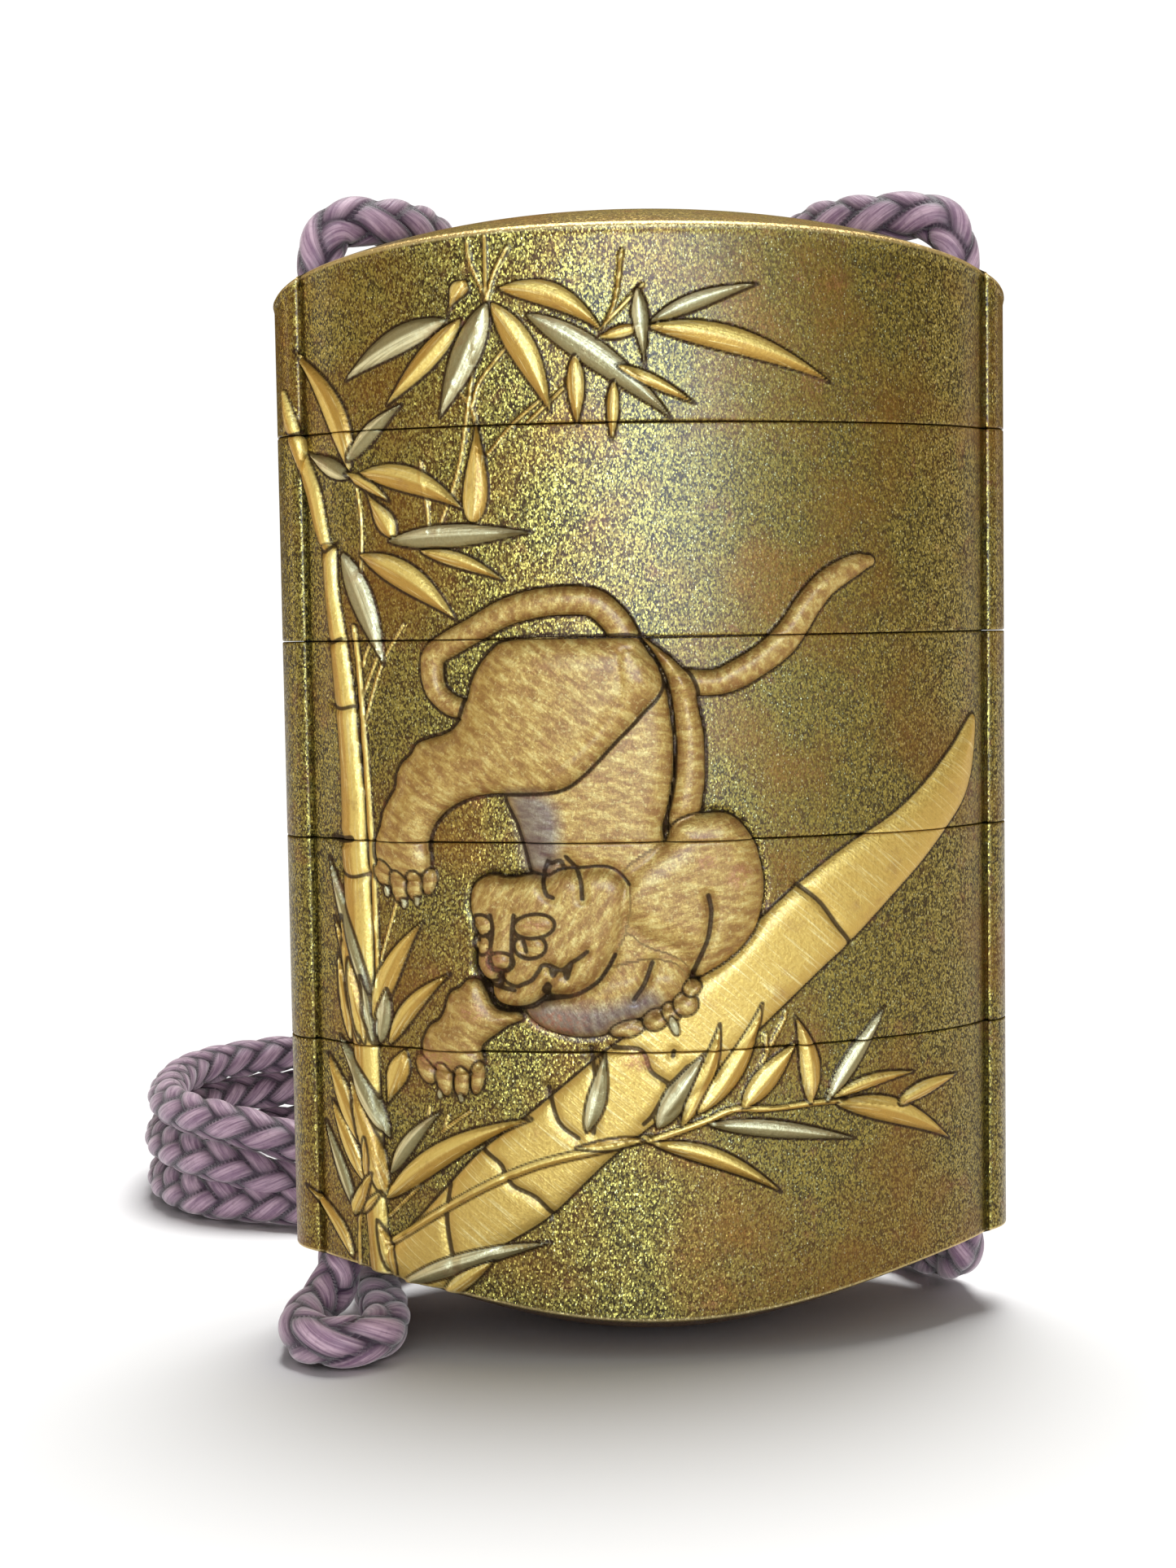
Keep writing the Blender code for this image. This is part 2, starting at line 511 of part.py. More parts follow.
def make_case(name, low, high, body, channels, finish, parts, guides):
    """One case, from its lower seam to its upper: room, riser above and socket below."""
    box = [(BESIDE, -BESIDE), (BESIDE, BESIDE), (-BESIDE, BESIDE), (-BESIDE, -BESIDE)]
    case = object_from(name, upright_prism(box, low, high), parts, finish)
    boolean(case, "INTERSECT", body)
    is_lid, is_base = high > TOP_RIM, low < BOTTOM_RIM
    socket_top = low - SEAM_GAP / 2 + RISER_HEIGHT + FIT_GAP
    if not is_lid:
        lip = high + SEAM_GAP / 2 + RISER_HEIGHT
        riser = inside_prism(f"{name}_riser", RISER_HALF, high - FLOOR, lip, guides)
        boolean(case, "UNION", riser)
    floor_top = low - 1.0 if is_base else socket_top + FLOOR
    room_low = socket_top - 1.0 if is_lid else floor_top
    room = inside_prism(f"{name}_room", ROOM_HALF, room_low, high + 2 * RISER_HEIGHT, guides)
    if is_lid:
        boolean(room, "DIFFERENCE", crown_cutter("lid_ceiling", top_crown, 2 * ABOVE, -LID_TOP_WALL, guides))
    if is_base:
        boolean(room, "DIFFERENCE", crown_cutter("base_floor", bottom_crown, 2 * BELOW, BASE_WALL, guides))
    boolean(case, "DIFFERENCE", room)
    if not is_base:
        socket = (SOCKET_HALF_WIDTH, SOCKET_HALF_DEPTH)
        boolean(case, "DIFFERENCE", inside_prism(f"{name}_socket", socket, low - 1.0, socket_top, guides))
    boolean(case, "DIFFERENCE", channels)
    return case


def placed(route):
    """The route's points on a case of this width and depth."""
    wider, deeper = WIDTH / DRAWN_WIDTH, PANEL_HALF_DEPTH / DRAWN_HALF_DEPTH
    return [Vector((x * wider, y * deeper, z)) for x, y, z in route]


def curve_through(points):
    """Closely spaced points on a smooth curve through the route's own points."""
    ends = [2 * points[0] - points[1], *points, 2 * points[-1] - points[-2]]
    line = []
    for a, b, c, d in zip(ends, ends[1:], ends[2:], ends[3:]):
        for step in range(CURVE_STEPS):
            t = step / CURVE_STEPS
            line.append(0.5 * (
                2 * b + (c - a) * t + (2 * a - 5 * b + 4 * c - d) * t**2 + (3 * b - a - 3 * c + d) * t**3
            ))
    return [*line, points[-1]]


def tube_points(route):
    """Points for a tube: close together in a bend and further apart on a straight stretch."""
    line = curve_through(placed(route))
    inner = line[CURVE_STEPS:-CURVE_STEPS]
    kept = [inner[0]]
    heading = (inner[1] - inner[0]).normalized()
    for before, point in zip(inner, inner[1:]):
        turn = heading.angle((point - before).normalized(), 0.0)
        run = (point - kept[-1]).length
        if run >= TUBE_STEP or (turn > BEND_TURN and run >= BEND_STEP):
            kept.append(point)
            heading = (point - before).normalized()
    if (inner[-1] - kept[-1]).length < BEND_STEP / 2:
        kept.pop()
    return [line[0], *kept, inner[-1], line[-1]]


def make_tube(name, points, finish, parts):
    curve = bpy.data.curves.new(name, "CURVE")
    curve.dimensions = "3D"
    curve.bevel_depth = CORD_DIAMETER / 2 * MM
    curve.bevel_resolution = 2
    curve.use_fill_caps = True
    line = curve.splines.new("POLY")
    line.points.add(len(points) - 1)
    for spot, point in zip(line.points, points):
        spot.co = (*(Vector(point) * MM), 1.0)
    curve.materials.append(finish)
    made = bpy.data.objects.new(name, curve)
    parts.objects.link(made)


def make_cord(finish, parts, guides):
    make_tube("cord_base", tube_points(BASE_ROUTE), finish, parts)
    make_tube("cord_left_tail", tube_points(LEFT_TAIL_ROUTE), finish, parts)
    make_tube("cord_right_tail", tube_points(RIGHT_TAIL_ROUTE), finish, parts)
    for name, base_end, tail_end in (
        ("cord_left_run", BASE_ROUTE[0], LEFT_TAIL_ROUTE[0]),
        ("cord_right_run", BASE_ROUTE[-1], RIGHT_TAIL_ROUTE[0]),
    ):
        low, high = placed([base_end, tail_end])
        play = Vector((0.0, 0.0, FIT_GAP))
        make_tube(name, [low + play, high - play], finish, parts)
    reach = CORD_DIAMETER / 2 + COIL_SLACK
    outer = superellipse(COIL_HALF[0] + reach, COIL_HALF[1] + reach, COIL_POWER, COIL_STEPS, COIL_CENTRE)
    inner = superellipse(COIL_HALF[0] - reach, COIL_HALF[1] - reach, COIL_POWER, COIL_STEPS, COIL_CENTRE)
    coil = object_from("cord_coil", upright_prism(outer, 0.0, COIL_LAYERS * CORD_DIAMETER), parts, finish)
    boolean(coil, "DIFFERENCE", guide_from("coil_hole", upright_prism(inner, BELOW, ABOVE), guides))
    knot = bmesh.new()
    bmesh.ops.create_icosphere(knot, subdivisions=2, radius=1.0)
    bmesh.ops.scale(knot, vec=KNOT_HALF, verts=knot.verts)
    bmesh.ops.translate(knot, vec=KNOT_CENTRE, verts=knot.verts)
    object_from("cord_knot", knot, parts, finish)


def main():
    clear_scene()
    parts, guides = new_collection("inro"), new_collection("guides")
    lacquer = material("gold_lacquer", (0.36, 0.27, 0.08), 0.38, 0.35)
    silk = material("mauve_silk", (0.30, 0.22, 0.32), 0.7, 0.0)
    body, channels = make_body(guides), make_channels(guides)
    seams = [LOWEST_SEAM]
    for height in CASE_HEIGHTS:
        seams.append(seams[-1] + height)
    edges = [BELOW, *seams, ABOVE]
    names = ("case_4", "case_3", "case_2", "case_1", "lid")
    for name, low, high in zip(names, edges, edges[1:]):
        low_edge = low if name == "case_4" else low + SEAM_GAP / 2
        high_edge = high if name == "lid" else high - SEAM_GAP / 2
        make_case(name, low_edge, high_edge, body, channels, lacquer, parts, guides)
    make_cord(silk, parts, guides)


main()
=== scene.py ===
# %% [markdown]
# An inro is a small stack of boxes that close into one oval case. A lid and four cases slide onto
# one another, and a single silk cord runs down one side of the stack and up the other. This lesson
# dresses a finished CAD model of one: the body gets its raised lacquer picture of a tiger climbing
# down bamboo, and the plain cord gets its braid.

# %% Load the frame
import json
import math

import bmesh
import bpy
import numpy as np
from mathutils import Matrix, Vector

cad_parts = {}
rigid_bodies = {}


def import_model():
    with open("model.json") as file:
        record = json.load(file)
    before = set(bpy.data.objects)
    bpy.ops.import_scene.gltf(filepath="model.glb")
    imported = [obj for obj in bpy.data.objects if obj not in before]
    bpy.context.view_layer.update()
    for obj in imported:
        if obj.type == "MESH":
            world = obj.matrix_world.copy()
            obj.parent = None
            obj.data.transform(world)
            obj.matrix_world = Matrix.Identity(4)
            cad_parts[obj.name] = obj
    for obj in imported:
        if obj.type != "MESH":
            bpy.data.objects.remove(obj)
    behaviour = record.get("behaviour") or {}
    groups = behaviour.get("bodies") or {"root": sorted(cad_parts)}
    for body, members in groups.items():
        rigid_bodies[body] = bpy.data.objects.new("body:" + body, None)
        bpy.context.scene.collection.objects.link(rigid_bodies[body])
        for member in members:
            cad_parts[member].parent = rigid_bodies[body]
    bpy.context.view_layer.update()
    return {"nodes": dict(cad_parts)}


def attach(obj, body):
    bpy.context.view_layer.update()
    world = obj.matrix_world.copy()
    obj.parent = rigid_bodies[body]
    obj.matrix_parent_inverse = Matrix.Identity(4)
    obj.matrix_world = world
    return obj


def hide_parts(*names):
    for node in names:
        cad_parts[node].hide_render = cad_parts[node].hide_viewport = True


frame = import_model()
MM = 0.001
print("CAD nodes:", len(frame["nodes"]))

# %% [markdown]
# The camera stands a little left of the case, about 187 mm in front of it and looks down by four
# degrees. Its lens follows from the photograph's frame: Blender fits the 36 mm sensor to the longer
# side of the picture.

# %% Camera
CAMERA_AT = Vector((-16.237, -186.797, 55.629)) * MM
CAMERA_YAW = 0.0614
CAMERA_PITCH = 0.0698
CAMERA_ROLL = -0.0159
LENS = 54.37
SENSOR = 36.0
NEAREST_SEEN = 10 * MM


def add_camera():
    """Places the camera from its yaw, pitch and roll."""
    turn = Matrix.Rotation(CAMERA_ROLL, 3, "Y") @ Matrix.Rotation(CAMERA_PITCH, 3, "X")
    turn = turn @ Matrix.Rotation(CAMERA_YAW, 3, "Z")
    right, ahead, up = turn
    pose = Matrix((right, up, -ahead)).transposed().to_4x4()
    pose.translation = CAMERA_AT
    camera = bpy.data.objects.new("camera", bpy.data.cameras.new("camera"))
    camera.data.lens = LENS
    camera.data.sensor_width = SENSOR
    camera.data.clip_start = NEAREST_SEEN
    camera.matrix_world = pose
    bpy.context.scene.collection.objects.link(camera)
    bpy.context.scene.camera = camera
    return camera


camera = add_camera()
print("camera looks along", [round(value, 3) for value in camera.matrix_world.col[2][:3]])

# %% [markdown]
# A finish is a tree of shader nodes. These helpers add a node, feed its inputs with values or with
# other nodes' outputs, and hand back the output that comes next, so that a finish reads as a few
# lines of layers. Colours are written as they look on a screen, from 0 to 255, and turned into the
# scene's own values.

# %% Finish helpers
def feed(tree, node, inputs):
    """Sets a node's inputs to values, or links them to sockets."""
    for key, value in inputs.items():
        if isinstance(value, bpy.types.NodeSocket):
            tree.links.new(value, node.inputs[key])
        else:
            node.inputs[key].default_value = value


def put(tree, kind, inputs=None, **settings):
    """Adds a node with its settings and its inputs."""
    made = tree.nodes.new(kind)
    for key, value in settings.items():
        setattr(made, key, value)
    feed(tree, made, inputs or {})
    return made


def blend(tree, factor, first, second):
    return put(tree, "ShaderNodeMix", {0: factor, 6: first, 7: second}, data_type="RGBA").outputs[2]


def combine(tree, operation, first, second):
    return put(tree, "ShaderNodeMath", {0: first, 1: second}, operation=operation).outputs[0]


def weighed_sum(tree, *parts):
    """The sum of some values, each times its weight."""
    total = 0.0
    for value, weight in parts:
        inputs = {0: value, 1: weight, 2: total}
        total = put(tree, "ShaderNodeMath", inputs, operation="MULTIPLY_ADD").outputs[0]
    return total


def span(tree, value, low, high, start=0.0, end=1.0):
    limits = {"Value": value, "From Min": low, "From Max": high, "To Min": start, "To Max": end}
    return put(tree, "ShaderNodeMapRange", limits).outputs[0]


def layered(tree, colour, *layers):
    """Lays colours over a colour, each as strongly as its value has passed from low to high."""
    for value, low, high, most, over in layers:
        colour = blend(tree, span(tree, value, low, high, 0.0, most), colour, over)
    return colour


def vectors(tree, operation, first, second=(0, 0, 0)):
    return put(tree, "ShaderNodeVectorMath", {0: first, 1: second}, operation=operation).outputs[0]


def noise_at(tree, vector, scale, detail, roughness):
    inputs = {"Vector": vector, "Scale": scale, "Detail": detail, "Roughness": roughness}
    return put(tree, "ShaderNodeTexNoise", inputs).outputs[0]


def attribute(tree, name, output="Fac"):
    return put(tree, "ShaderNodeAttribute", attribute_name=name).outputs[output]


def display(value):
    """A display value from 0 to 255 as the scene value that shows it."""
    return ((value / 255 + 0.055) / 1.055) ** 2.4 if value > 10 else value / 3295


def rgb(red, green, blue):
    return (display(red), display(green), display(blue), 1.0)


def plain_material(name, colour, roughness):
    """A material with one colour, as a start for a finer one."""
    made = bpy.data.materials.new(name)
    made.use_nodes = True
    tree = made.node_tree
    feed(tree, tree.nodes["Principled BSDF"], {"Base Color": (*colour, 1.0), "Roughness": roughness})
    return made


print("a middle grey on the screen is", round(display(128), 3), "in the scene")

# %% [markdown]
# The case stands on a white sheet under soft daylight. A broad sun from above, a little from
# behind, gives the soft shadow, and the sheet is lit by it and by the world alone. The lamps are
# linked to the object, so that they leave no marks on the sheet: a window in front lights the
# middle of the lacquer, with a tint that leaves the gold greenish, a white one of its own lights
# the silk, and a key lamp and two narrow panels stand beside the case. The world has three tones:
# white to the camera, brown in reflections, which keeps the gold's contrast, and dim for the rest.

# %% Floor and light
FLOOR_SIZE = 3.0
SHEET_WHITE = 0.92
SHEET_ROUGHNESS = 0.8
SKY_SEEN = (1.05, 1.05, 1.05, 1)
SKY_LIGHT = (0.28, 0.28, 0.28, 1)
SKY_MIRRORED = (0.24, 0.155, 0.03, 1)
SUN_DIRECTION = (-0.09, -0.26, -0.96)
SUN_POWER = 3.1
SUN_ANGLE = math.radians(30)
WINDOW = ((0.03, -0.50, 0.14), (0, 0, 0.06), (0.30, 0.22))
WINDOW_TINT = (0.72, 1.0, 1.5)
CASE_MIDDLE = (0, 0, 0.05)
LIT = {name: bpy.data.collections.new(name) for name in ("lit_by_lamps", "lacquer_pieces", "silk_pieces")}
bpy.context.scene.view_settings.view_transform = "Standard"


def mesh_object(name, shape, finish):
    """Turns a bmesh into an object in the scene, with one material."""
    mesh = bpy.data.meshes.new(name)
    shape.to_mesh(mesh)
    shape.free()
    made = bpy.data.objects.new(name, mesh)
    mesh.materials.append(finish)
    bpy.context.scene.collection.objects.link(made)
    return made


def add_lamp(name, kind, direction, power, **facts):
    """A lamp that shines along a direction, with any further facts of its light."""
    light = bpy.data.lights.new(name, kind)
    light.energy = power
    for key, value in facts.items():
        setattr(light, key, value)
    lamp = bpy.data.objects.new(name, light)
    lamp.rotation_euler = Vector(direction).to_track_quat("-Z", "Y").to_euler()
    bpy.context.scene.collection.objects.link(lamp)
    return lamp


def add_area(name, place, aim, size, power, colour=(1, 1, 1), lit="lit_by_lamps"):
    """A rectangular lamp that lights only one collection of pieces."""
    facts = {"shape": "RECTANGLE", "size": size[0], "size_y": size[1], "color": colour}
    lamp = add_lamp(name, "AREA", Vector(aim) - Vector(place), power, **facts)
    lamp.location = place
    lamp.light_linking.receiver_collection = LIT[lit]


def add_world():
    """A room with one tone for the camera, one for reflections and one for all other light."""
    world = bpy.data.worlds.new("white_room")
    bpy.context.scene.world = world
    world.use_nodes = True
    tree = world.node_tree
    rays = put(tree, "ShaderNodeLightPath").outputs
    tone = blend(tree, rays["Is Glossy Ray"], SKY_LIGHT, SKY_MIRRORED)
    tone = blend(tree, rays["Is Camera Ray"], tone, SKY_SEEN)
    feed(tree, tree.nodes["Background"], {"Color": tone})


sheet = bmesh.new()
bmesh.ops.create_grid(sheet, x_segments=1, y_segments=1, size=FLOOR_SIZE)
floor = mesh_object("floor", sheet, plain_material("white_sheet", (SHEET_WHITE,) * 3, SHEET_ROUGHNESS))
add_world()
add_lamp("daylight", "SUN", SUN_DIRECTION, SUN_POWER, angle=SUN_ANGLE)
add_area("window", *WINDOW, 2.9, WINDOW_TINT, "lacquer_pieces")
add_area("window_on_silk", *WINDOW, 2.4, lit="silk_pieces")
add_area("key", (-0.42, -0.30, 0.36), CASE_MIDDLE, (0.16, 0.16), 0.22)
add_area("left_panel", (-0.40, 0.0, 0.06), CASE_MIDDLE, (0.03, 0.5), 0.35)
add_area("right_panel", (0.39, 0.07, 0.06), CASE_MIDDLE, (0.03, 0.5), 0.22)

# %% [markdown]
# One silk cord serves the whole case. It is a braid of eight strands: four wind one way, four the
# other, and each passes over two and under two. So the cord is a tube whose surface is lifted
# where a strand lies on top. Two slanting counts, one for each way of winding, tell which strand
# is on top at each point, and how far across and along its visible part the point is.

# %% The braid
CORD_DIAMETER = 3.9
STRANDS_EACH_WAY = 4
STRAND_STEP = 3.8
LOBE_RISE = 0.5
LOBE_FOOT = 0.35
YARN_SHADES = 5
AROUND = 48
ALONG = 0.3


def smooth_line(points, closed=False, steps=6):
    """A curve through the points, with extra values such as a width carried along."""
    points = np.array(points, dtype=float)
    if closed:
        padded = np.vstack([points[-1], points, points[:2]])
    else:
        padded = np.vstack([2 * points[0] - points[1], points, 2 * points[-1] - points[-2]])
    t = (np.arange(steps) / steps)[:, None]
    pieces = []
    for a, b, c, d in zip(padded, padded[1:], padded[2:], padded[3:]):
        curve = 2 * b + (c - a) * t + (2 * a - 5 * b + 4 * c - d) * t**2 + (3 * b - a - 3 * c + d) * t**3
        pieces.append(0.5 * curve)
    return np.vstack(pieces) if closed else np.vstack([*pieces, points[-1]])


def run_along(line):
    """The length of a line up to each of its points."""
    return np.r_[0, np.cumsum(np.linalg.norm(np.diff(line, axis=0), axis=1))]


def evenly(points, spacing):
    """The same line with evenly spaced points, without its last one."""
    run = run_along(points)
    steps = np.linspace(0, run[-1], int(run[-1] / spacing) + 1)[:-1]
    return np.column_stack([np.interp(steps, run, column) for column in points.T])


def carried_sides(line):
    """Two directions across the line at each point, carried along it without twisting."""
    forward = np.gradient(line, axis=0)
    forward /= np.linalg.norm(forward, axis=1)[:, None]
    side = np.cross(forward[0], (0.3, 0.9, 0.1))
    sides = np.zeros_like(line)
    for index, ahead in enumerate(forward):
        side = side - ahead * side.dot(ahead)
        side /= np.linalg.norm(side)
        sides[index] = side
    return sides, np.cross(forward, sides)


def braid_surface(angle, run):
    """Height of the braid, and the place across and along the strand that is on top."""
    turns = STRANDS_EACH_WAY * angle / math.tau
    one, other = turns + run / STRAND_STEP, turns - run / STRAND_STEP
    first_on_top = (np.floor(one) + np.floor(other)) % 4 < 2
    across = np.where(first_on_top, one % 1, other % 1)
    along = np.where(first_on_top, (np.floor(one) + other) % 4, (one + np.floor(other)) % 4 - 2) / 2
    lobe = np.sqrt(np.clip(1 - (2 * across - 1) ** 2, 0, 1))
    lobe *= LOBE_FOOT + (1 - LOBE_FOOT) * np.sin(math.pi * np.clip(along, 0.001, 0.999)) ** 0.5
    return lobe, across, along, np.where(first_on_top, np.floor(one), np.floor(other) + 7) % YARN_SHADES


def welded_grid(name, points, values, weld):
    """A closed skin from a grid of points in mm: its sides are welded and its ends are closed."""
    shape = bmesh.new()
    bmesh.ops.create_grid(shape, x_segments=points.shape[1] - 1, y_segments=points.shape[0] - 1, size=1)
    mesh = bpy.data.meshes.new(name)
    shape.to_mesh(mesh)
    mesh.vertices.foreach_set("co", (points * MM).ravel().astype(np.float32))
    for label, value in values.items():
        kind, field = ("FLOAT_VECTOR", "vector") if value.ndim == 3 else ("FLOAT", "value")
        layer = mesh.attributes.new(label, kind, "POINT")
        layer.data.foreach_set(field, value.ravel().astype(np.float32))
    shape.clear()
    shape.from_mesh(mesh)
    bpy.data.meshes.remove(mesh)
    bmesh.ops.remove_doubles(shape, verts=[vert for vert in shape.verts if vert.is_boundary], dist=weld)
    bmesh.ops.holes_fill(shape, edges=[edge for edge in shape.edges if edge.is_boundary], sides=0)
    bmesh.ops.recalc_face_normals(shape, faces=shape.faces)
    return shape


def braided_tube(name, line, radius):
    """A braided tube round a line."""
    sides, ups = carried_sides(line)
    angle, run = np.meshgrid(np.arange(AROUND + 1) / AROUND * math.tau, run_along(line))
    lobe, across, along, strand = braid_surface(angle % math.tau, run)
    ring = sides[:, None] * np.cos(angle)[..., None] + ups[:, None] * np.sin(angle)[..., None]
    points = line[:, None] + ring * (radius - LOBE_RISE + LOBE_RISE * lobe)[..., None]
    values = {"lobe": lobe, "across": across, "along": along, "strand": strand}
    piece = mesh_object(name, welded_grid(name, points, values, 1e-7), SILK)
    piece.data.shade_smooth()
    return piece


print("strands across the cord:", 2 * STRANDS_EACH_WAY, "with a lobe every", STRAND_STEP, "mm")

# %% [markdown]
# The silk is a dusty mauve that has faded to pale rose on the tops of the strands. Each strand is
# a bundle of fine yarns, so thin light and dark stripes run along it, and the gaps between the
# strands are painted deep plum as shade. The stripes follow the braid's own attributes, since they
# run with it.

# %% Mauve silk
SILK_PALE = rgb(184, 158, 172)
SILK_MAUVE = rgb(114, 86, 110)
SILK_PLUM_FLECKS_AND_GAP_SHADE = rgb(40, 22, 44)
YARN_STRETCH = (9.0, 1.1, 3.7)


def mauve_silk():
    made = plain_material("mauve_silk", (0.4, 0.25, 0.38), 0.55)
    tree = made.node_tree
    where = put(tree, "ShaderNodeTexCoord").outputs["Object"]
    lobe, along, across, strand = (attribute(tree, name) for name in ("lobe", "along", "across", "strand"))
    lay = put(tree, "ShaderNodeCombineXYZ", {"X": across, "Y": along, "Z": strand}).outputs[0]
    yarn = noise_at(tree, vectors(tree, "MULTIPLY", lay, YARN_STRETCH), 1.0, 2, 0.6)
    fuzz = noise_at(tree, where, 2600, 3, 0.6)
    fade = noise_at(tree, where, 120, 3, 0.5)
    # Where the lobe is low, between the strands, the silk is painted plum as shade; the fuzz adds random plum
    # flecks.
    colour = layered(
        tree, SILK_MAUVE, (yarn, 0.36, 0.66, 1, SILK_PALE), (fade, 0.4, 0.7, 0.35, SILK_MAUVE),
        (lobe, 0.86, 0.36, 1, SILK_PLUM_FLECKS_AND_GAP_SHADE), (fuzz, 0.5, 0.75, 0.25, SILK_PLUM_FLECKS_AND_GAP_SHADE),
    )
    height = weighed_sum(tree, (yarn, 1), (fuzz, 0.3))
    bump = put(tree, "ShaderNodeBump", {"Height": height, "Distance": 0.12 * MM, "Strength": 0.8})
    feed(tree, tree.nodes["Principled BSDF"], {
        "Base Color": colour, "Normal": bump.outputs[0], "Sheen Weight": 0.35, "Sheen Roughness": 0.4,
    })
    return made


SILK = mauve_silk()
print("nodes in the silk:", len(SILK.node_tree.nodes))

# %% [markdown]
# The cord enters the left channel through the lid, runs down inside the case, comes out below and
# lies in an open loop on the sheet, then goes up the right channel. Both ends come out at the top
# and lie over the lid and down behind the case. The spare length is wound into a flat coil there,
# whose left end shows beside the case. The routes repeat the CAD source's, in millimetres, but for
# the near loop, which is a little rounder here so that the braid doesn't pinch.

# %% The cord's routes
BASE_ROUTE = (
    (-24.9, 0, 7), (-24.95, -0.25, 5.6), (-25.5, -1.4, 3.6), (-26.6, -3.3, 2.4), (-27.5, -5.8, 2.05),
    (-27.7, -9, 2.05), (-26.8, -11.4, 2.05), (-24.6, -12.5, 2.05), (-22.4, -11.4, 2.05),
    (-21.5, -8.8, 2.05), (-21.6, -4.5, 2.05), (-22.2, 0, 2.05), (-22.6, 5, 2.05), (-22, 10, 2.05),
    (-19.2, 14.2, 2.05), (-13.5, 16.4, 2.05), (-6, 16.9, 2.05), (2, 16.8, 2.05), (9.5, 16.2, 2.05),
    (16, 14.3, 2.05), (20.8, 11.2, 2.05), (23.6, 7.2, 2.15), (24.9, 3.3, 2.7), (25.1, 1, 4.1),
    (24.9, 0, 5.9), (24.9, 0, 7),
)
LEFT_TAIL = (
    (-24.9, 0, 81.6), (-24.9, 0, 83), (-24.7, 0.2, 84.7), (-23.9, 0.8, 86.1), (-22.4, 1.5, 86.8),
    (-20.4, 2.6, 86.9), (-18.6, 4.3, 87), (-17.2, 6.6, 86.95), (-16.3, 8.8, 86.75), (-15.7, 10.9, 86.1),
    (-15.4, 12.5, 84.8), (-15.2, 13.3, 82.6), (-15.1, 13.6, 79), (-15, 13.6, 72), (-14.7, 13.6, 62),
    (-14.5, 13.7, 50), (-14.4, 14, 38), (-14.6, 14.6, 26), (-15.2, 16.4, 15), (-16.6, 19.6, 8.2),
    (-19.2, 23, 4.4), (-21.6, 25.4, 2.6),
)
RIGHT_TAIL = (
    (24.9, 0, 81.6), (24.9, 0, 83), (24.8, 0.2, 84.8), (24, 0.7, 86.3), (22.4, 1.4, 87),
    (20.4, 2.4, 87.1), (18.4, 3.9, 87.2), (16.4, 6, 87.3), (14.9, 8.6, 87.1), (14.1, 11.2, 86.4),
    (13.8, 13.1, 85), (13.6, 14, 82.6), (13.4, 14.3, 79), (13.3, 14.3, 72), (13.2, 14.3, 62),
    (13, 14.3, 50), (12.6, 14.4, 38), (12.1, 15, 27), (11.2, 16.8, 16), (9.8, 20.2, 8.4), (8, 24.6, 4),
    (6.6, 28.2, 2.4), (6, 31.6, 2.2), (5.8, 33.2, 2.2),
)
TO_KNOT = ((-2.3, 47, 9.2), (-0.4, 43.6, 7.4), (1.8, 41.2, 5.4), (3.4, 39.6, 4.4))
COIL_CENTRE = (-23.5, 49.0)
COIL_HALF = (20.5, 18.8)
COIL_POWER = 2.5
COIL_TURNS = 2.74
COIL_START = -0.56 * math.pi
COIL_POINTS = 16
COIL_WAVER = 0.35
LAYER_STEP = 3.75
LAYER_LEAD = 0.06
CLIMB_SHARE = 0.14
KNOT_CENTRE = (4.6, 38.4, 4.0)
KNOT_HALF = (0.95, 0.85, 1.7)
KNOT_RADIUS = 1.85


def coil_route():
    """The turns of the coil, from the near side by the left end, each layer on the last."""
    points = []
    for step in range(int(COIL_TURNS * COIL_POINTS) + 1):
        turn = step / COIL_POINTS
        angle = COIL_START - turn * math.tau
        waver = COIL_WAVER * math.sin(2.3 * turn + 5 * turn**0.5)
        layer = int(turn + LAYER_LEAD)
        climb = min(1.0, max(0.0, (turn + LAYER_LEAD - layer) / CLIMB_SHARE))
        place = [
            centre + (half + waver) * math.copysign(abs(way) ** (2 / COIL_POWER), way)
            for centre, half, way in zip(COIL_CENTRE, COIL_HALF, (math.cos(angle), math.sin(angle)))
        ]
        points.append((*place, 2.0 + LAYER_STEP * (max(0, layer - 1) + (climb if layer else 0))))
    return points


def knot_route():
    turn = np.linspace(0, math.tau, 90, endpoint=False)
    ways = (np.sin(turn) + 2 * np.sin(2 * turn), np.cos(turn) - 2 * np.cos(2 * turn), np.sin(3 * turn))
    return np.column_stack([centre + half * way for centre, half, way in zip(KNOT_CENTRE, KNOT_HALF, ways)])


def lay_cord(name, route, node_names, **facts):
    line = evenly(smooth_line(route, steps=12), ALONG)
    piece = braided_tube(name, line, CORD_DIAMETER / 2)
    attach(piece, "root")
    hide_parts(*node_names)


knot_line = knot_route()
knot = braided_tube("cord_knot_silk", np.vstack([knot_line, knot_line[:2]]), KNOT_RADIUS)
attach(knot, "root")
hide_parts("cord_knot")
left_route = [*LEFT_TAIL, *coil_route()[1:], *TO_KNOT]
lay_cord("cord_left_silk", left_route, ("cord_left_tail", "cord_coil"), far_end="knot", lay="coiled")
lay_cord("cord_right_silk", RIGHT_TAIL, ("cord_right_tail",), far_end="knot", lay="loose", with_pieces=[knot])
lay_cord("cord_base_silk", BASE_ROUTE, ("cord_base",), far_end="object", lay="loose")
for name in ("cord_left_run", "cord_right_run"):
    for slot in bpy.data.objects[name].material_slots:
        slot.material = SILK

# %% [markdown]
# Seen from above, the case is a flattened oval: two convex panels, front and back, that end at two
# rounded columns where the cord runs. A superellipse gives the panels, and a half ellipse gives
# each column. All sizes here are in millimetres, the same as in the CAD source.

# %% The section of the case
HALF_WIDTH = 28.5
PANEL_HALF_DEPTH = 13.05
PANEL_REACH = 27.45
PANEL_POWER = 1.82
GROOVE_X = 26.2
GROOVE_BOTTOM = (26.42, 3.12)
COLUMN_HALF_WIDTH = 2.15
COLUMN_HALF_DEPTH = 3.55
COLUMN_START = 86
FINE = 0.165
BACK_FINE = 2 * FINE


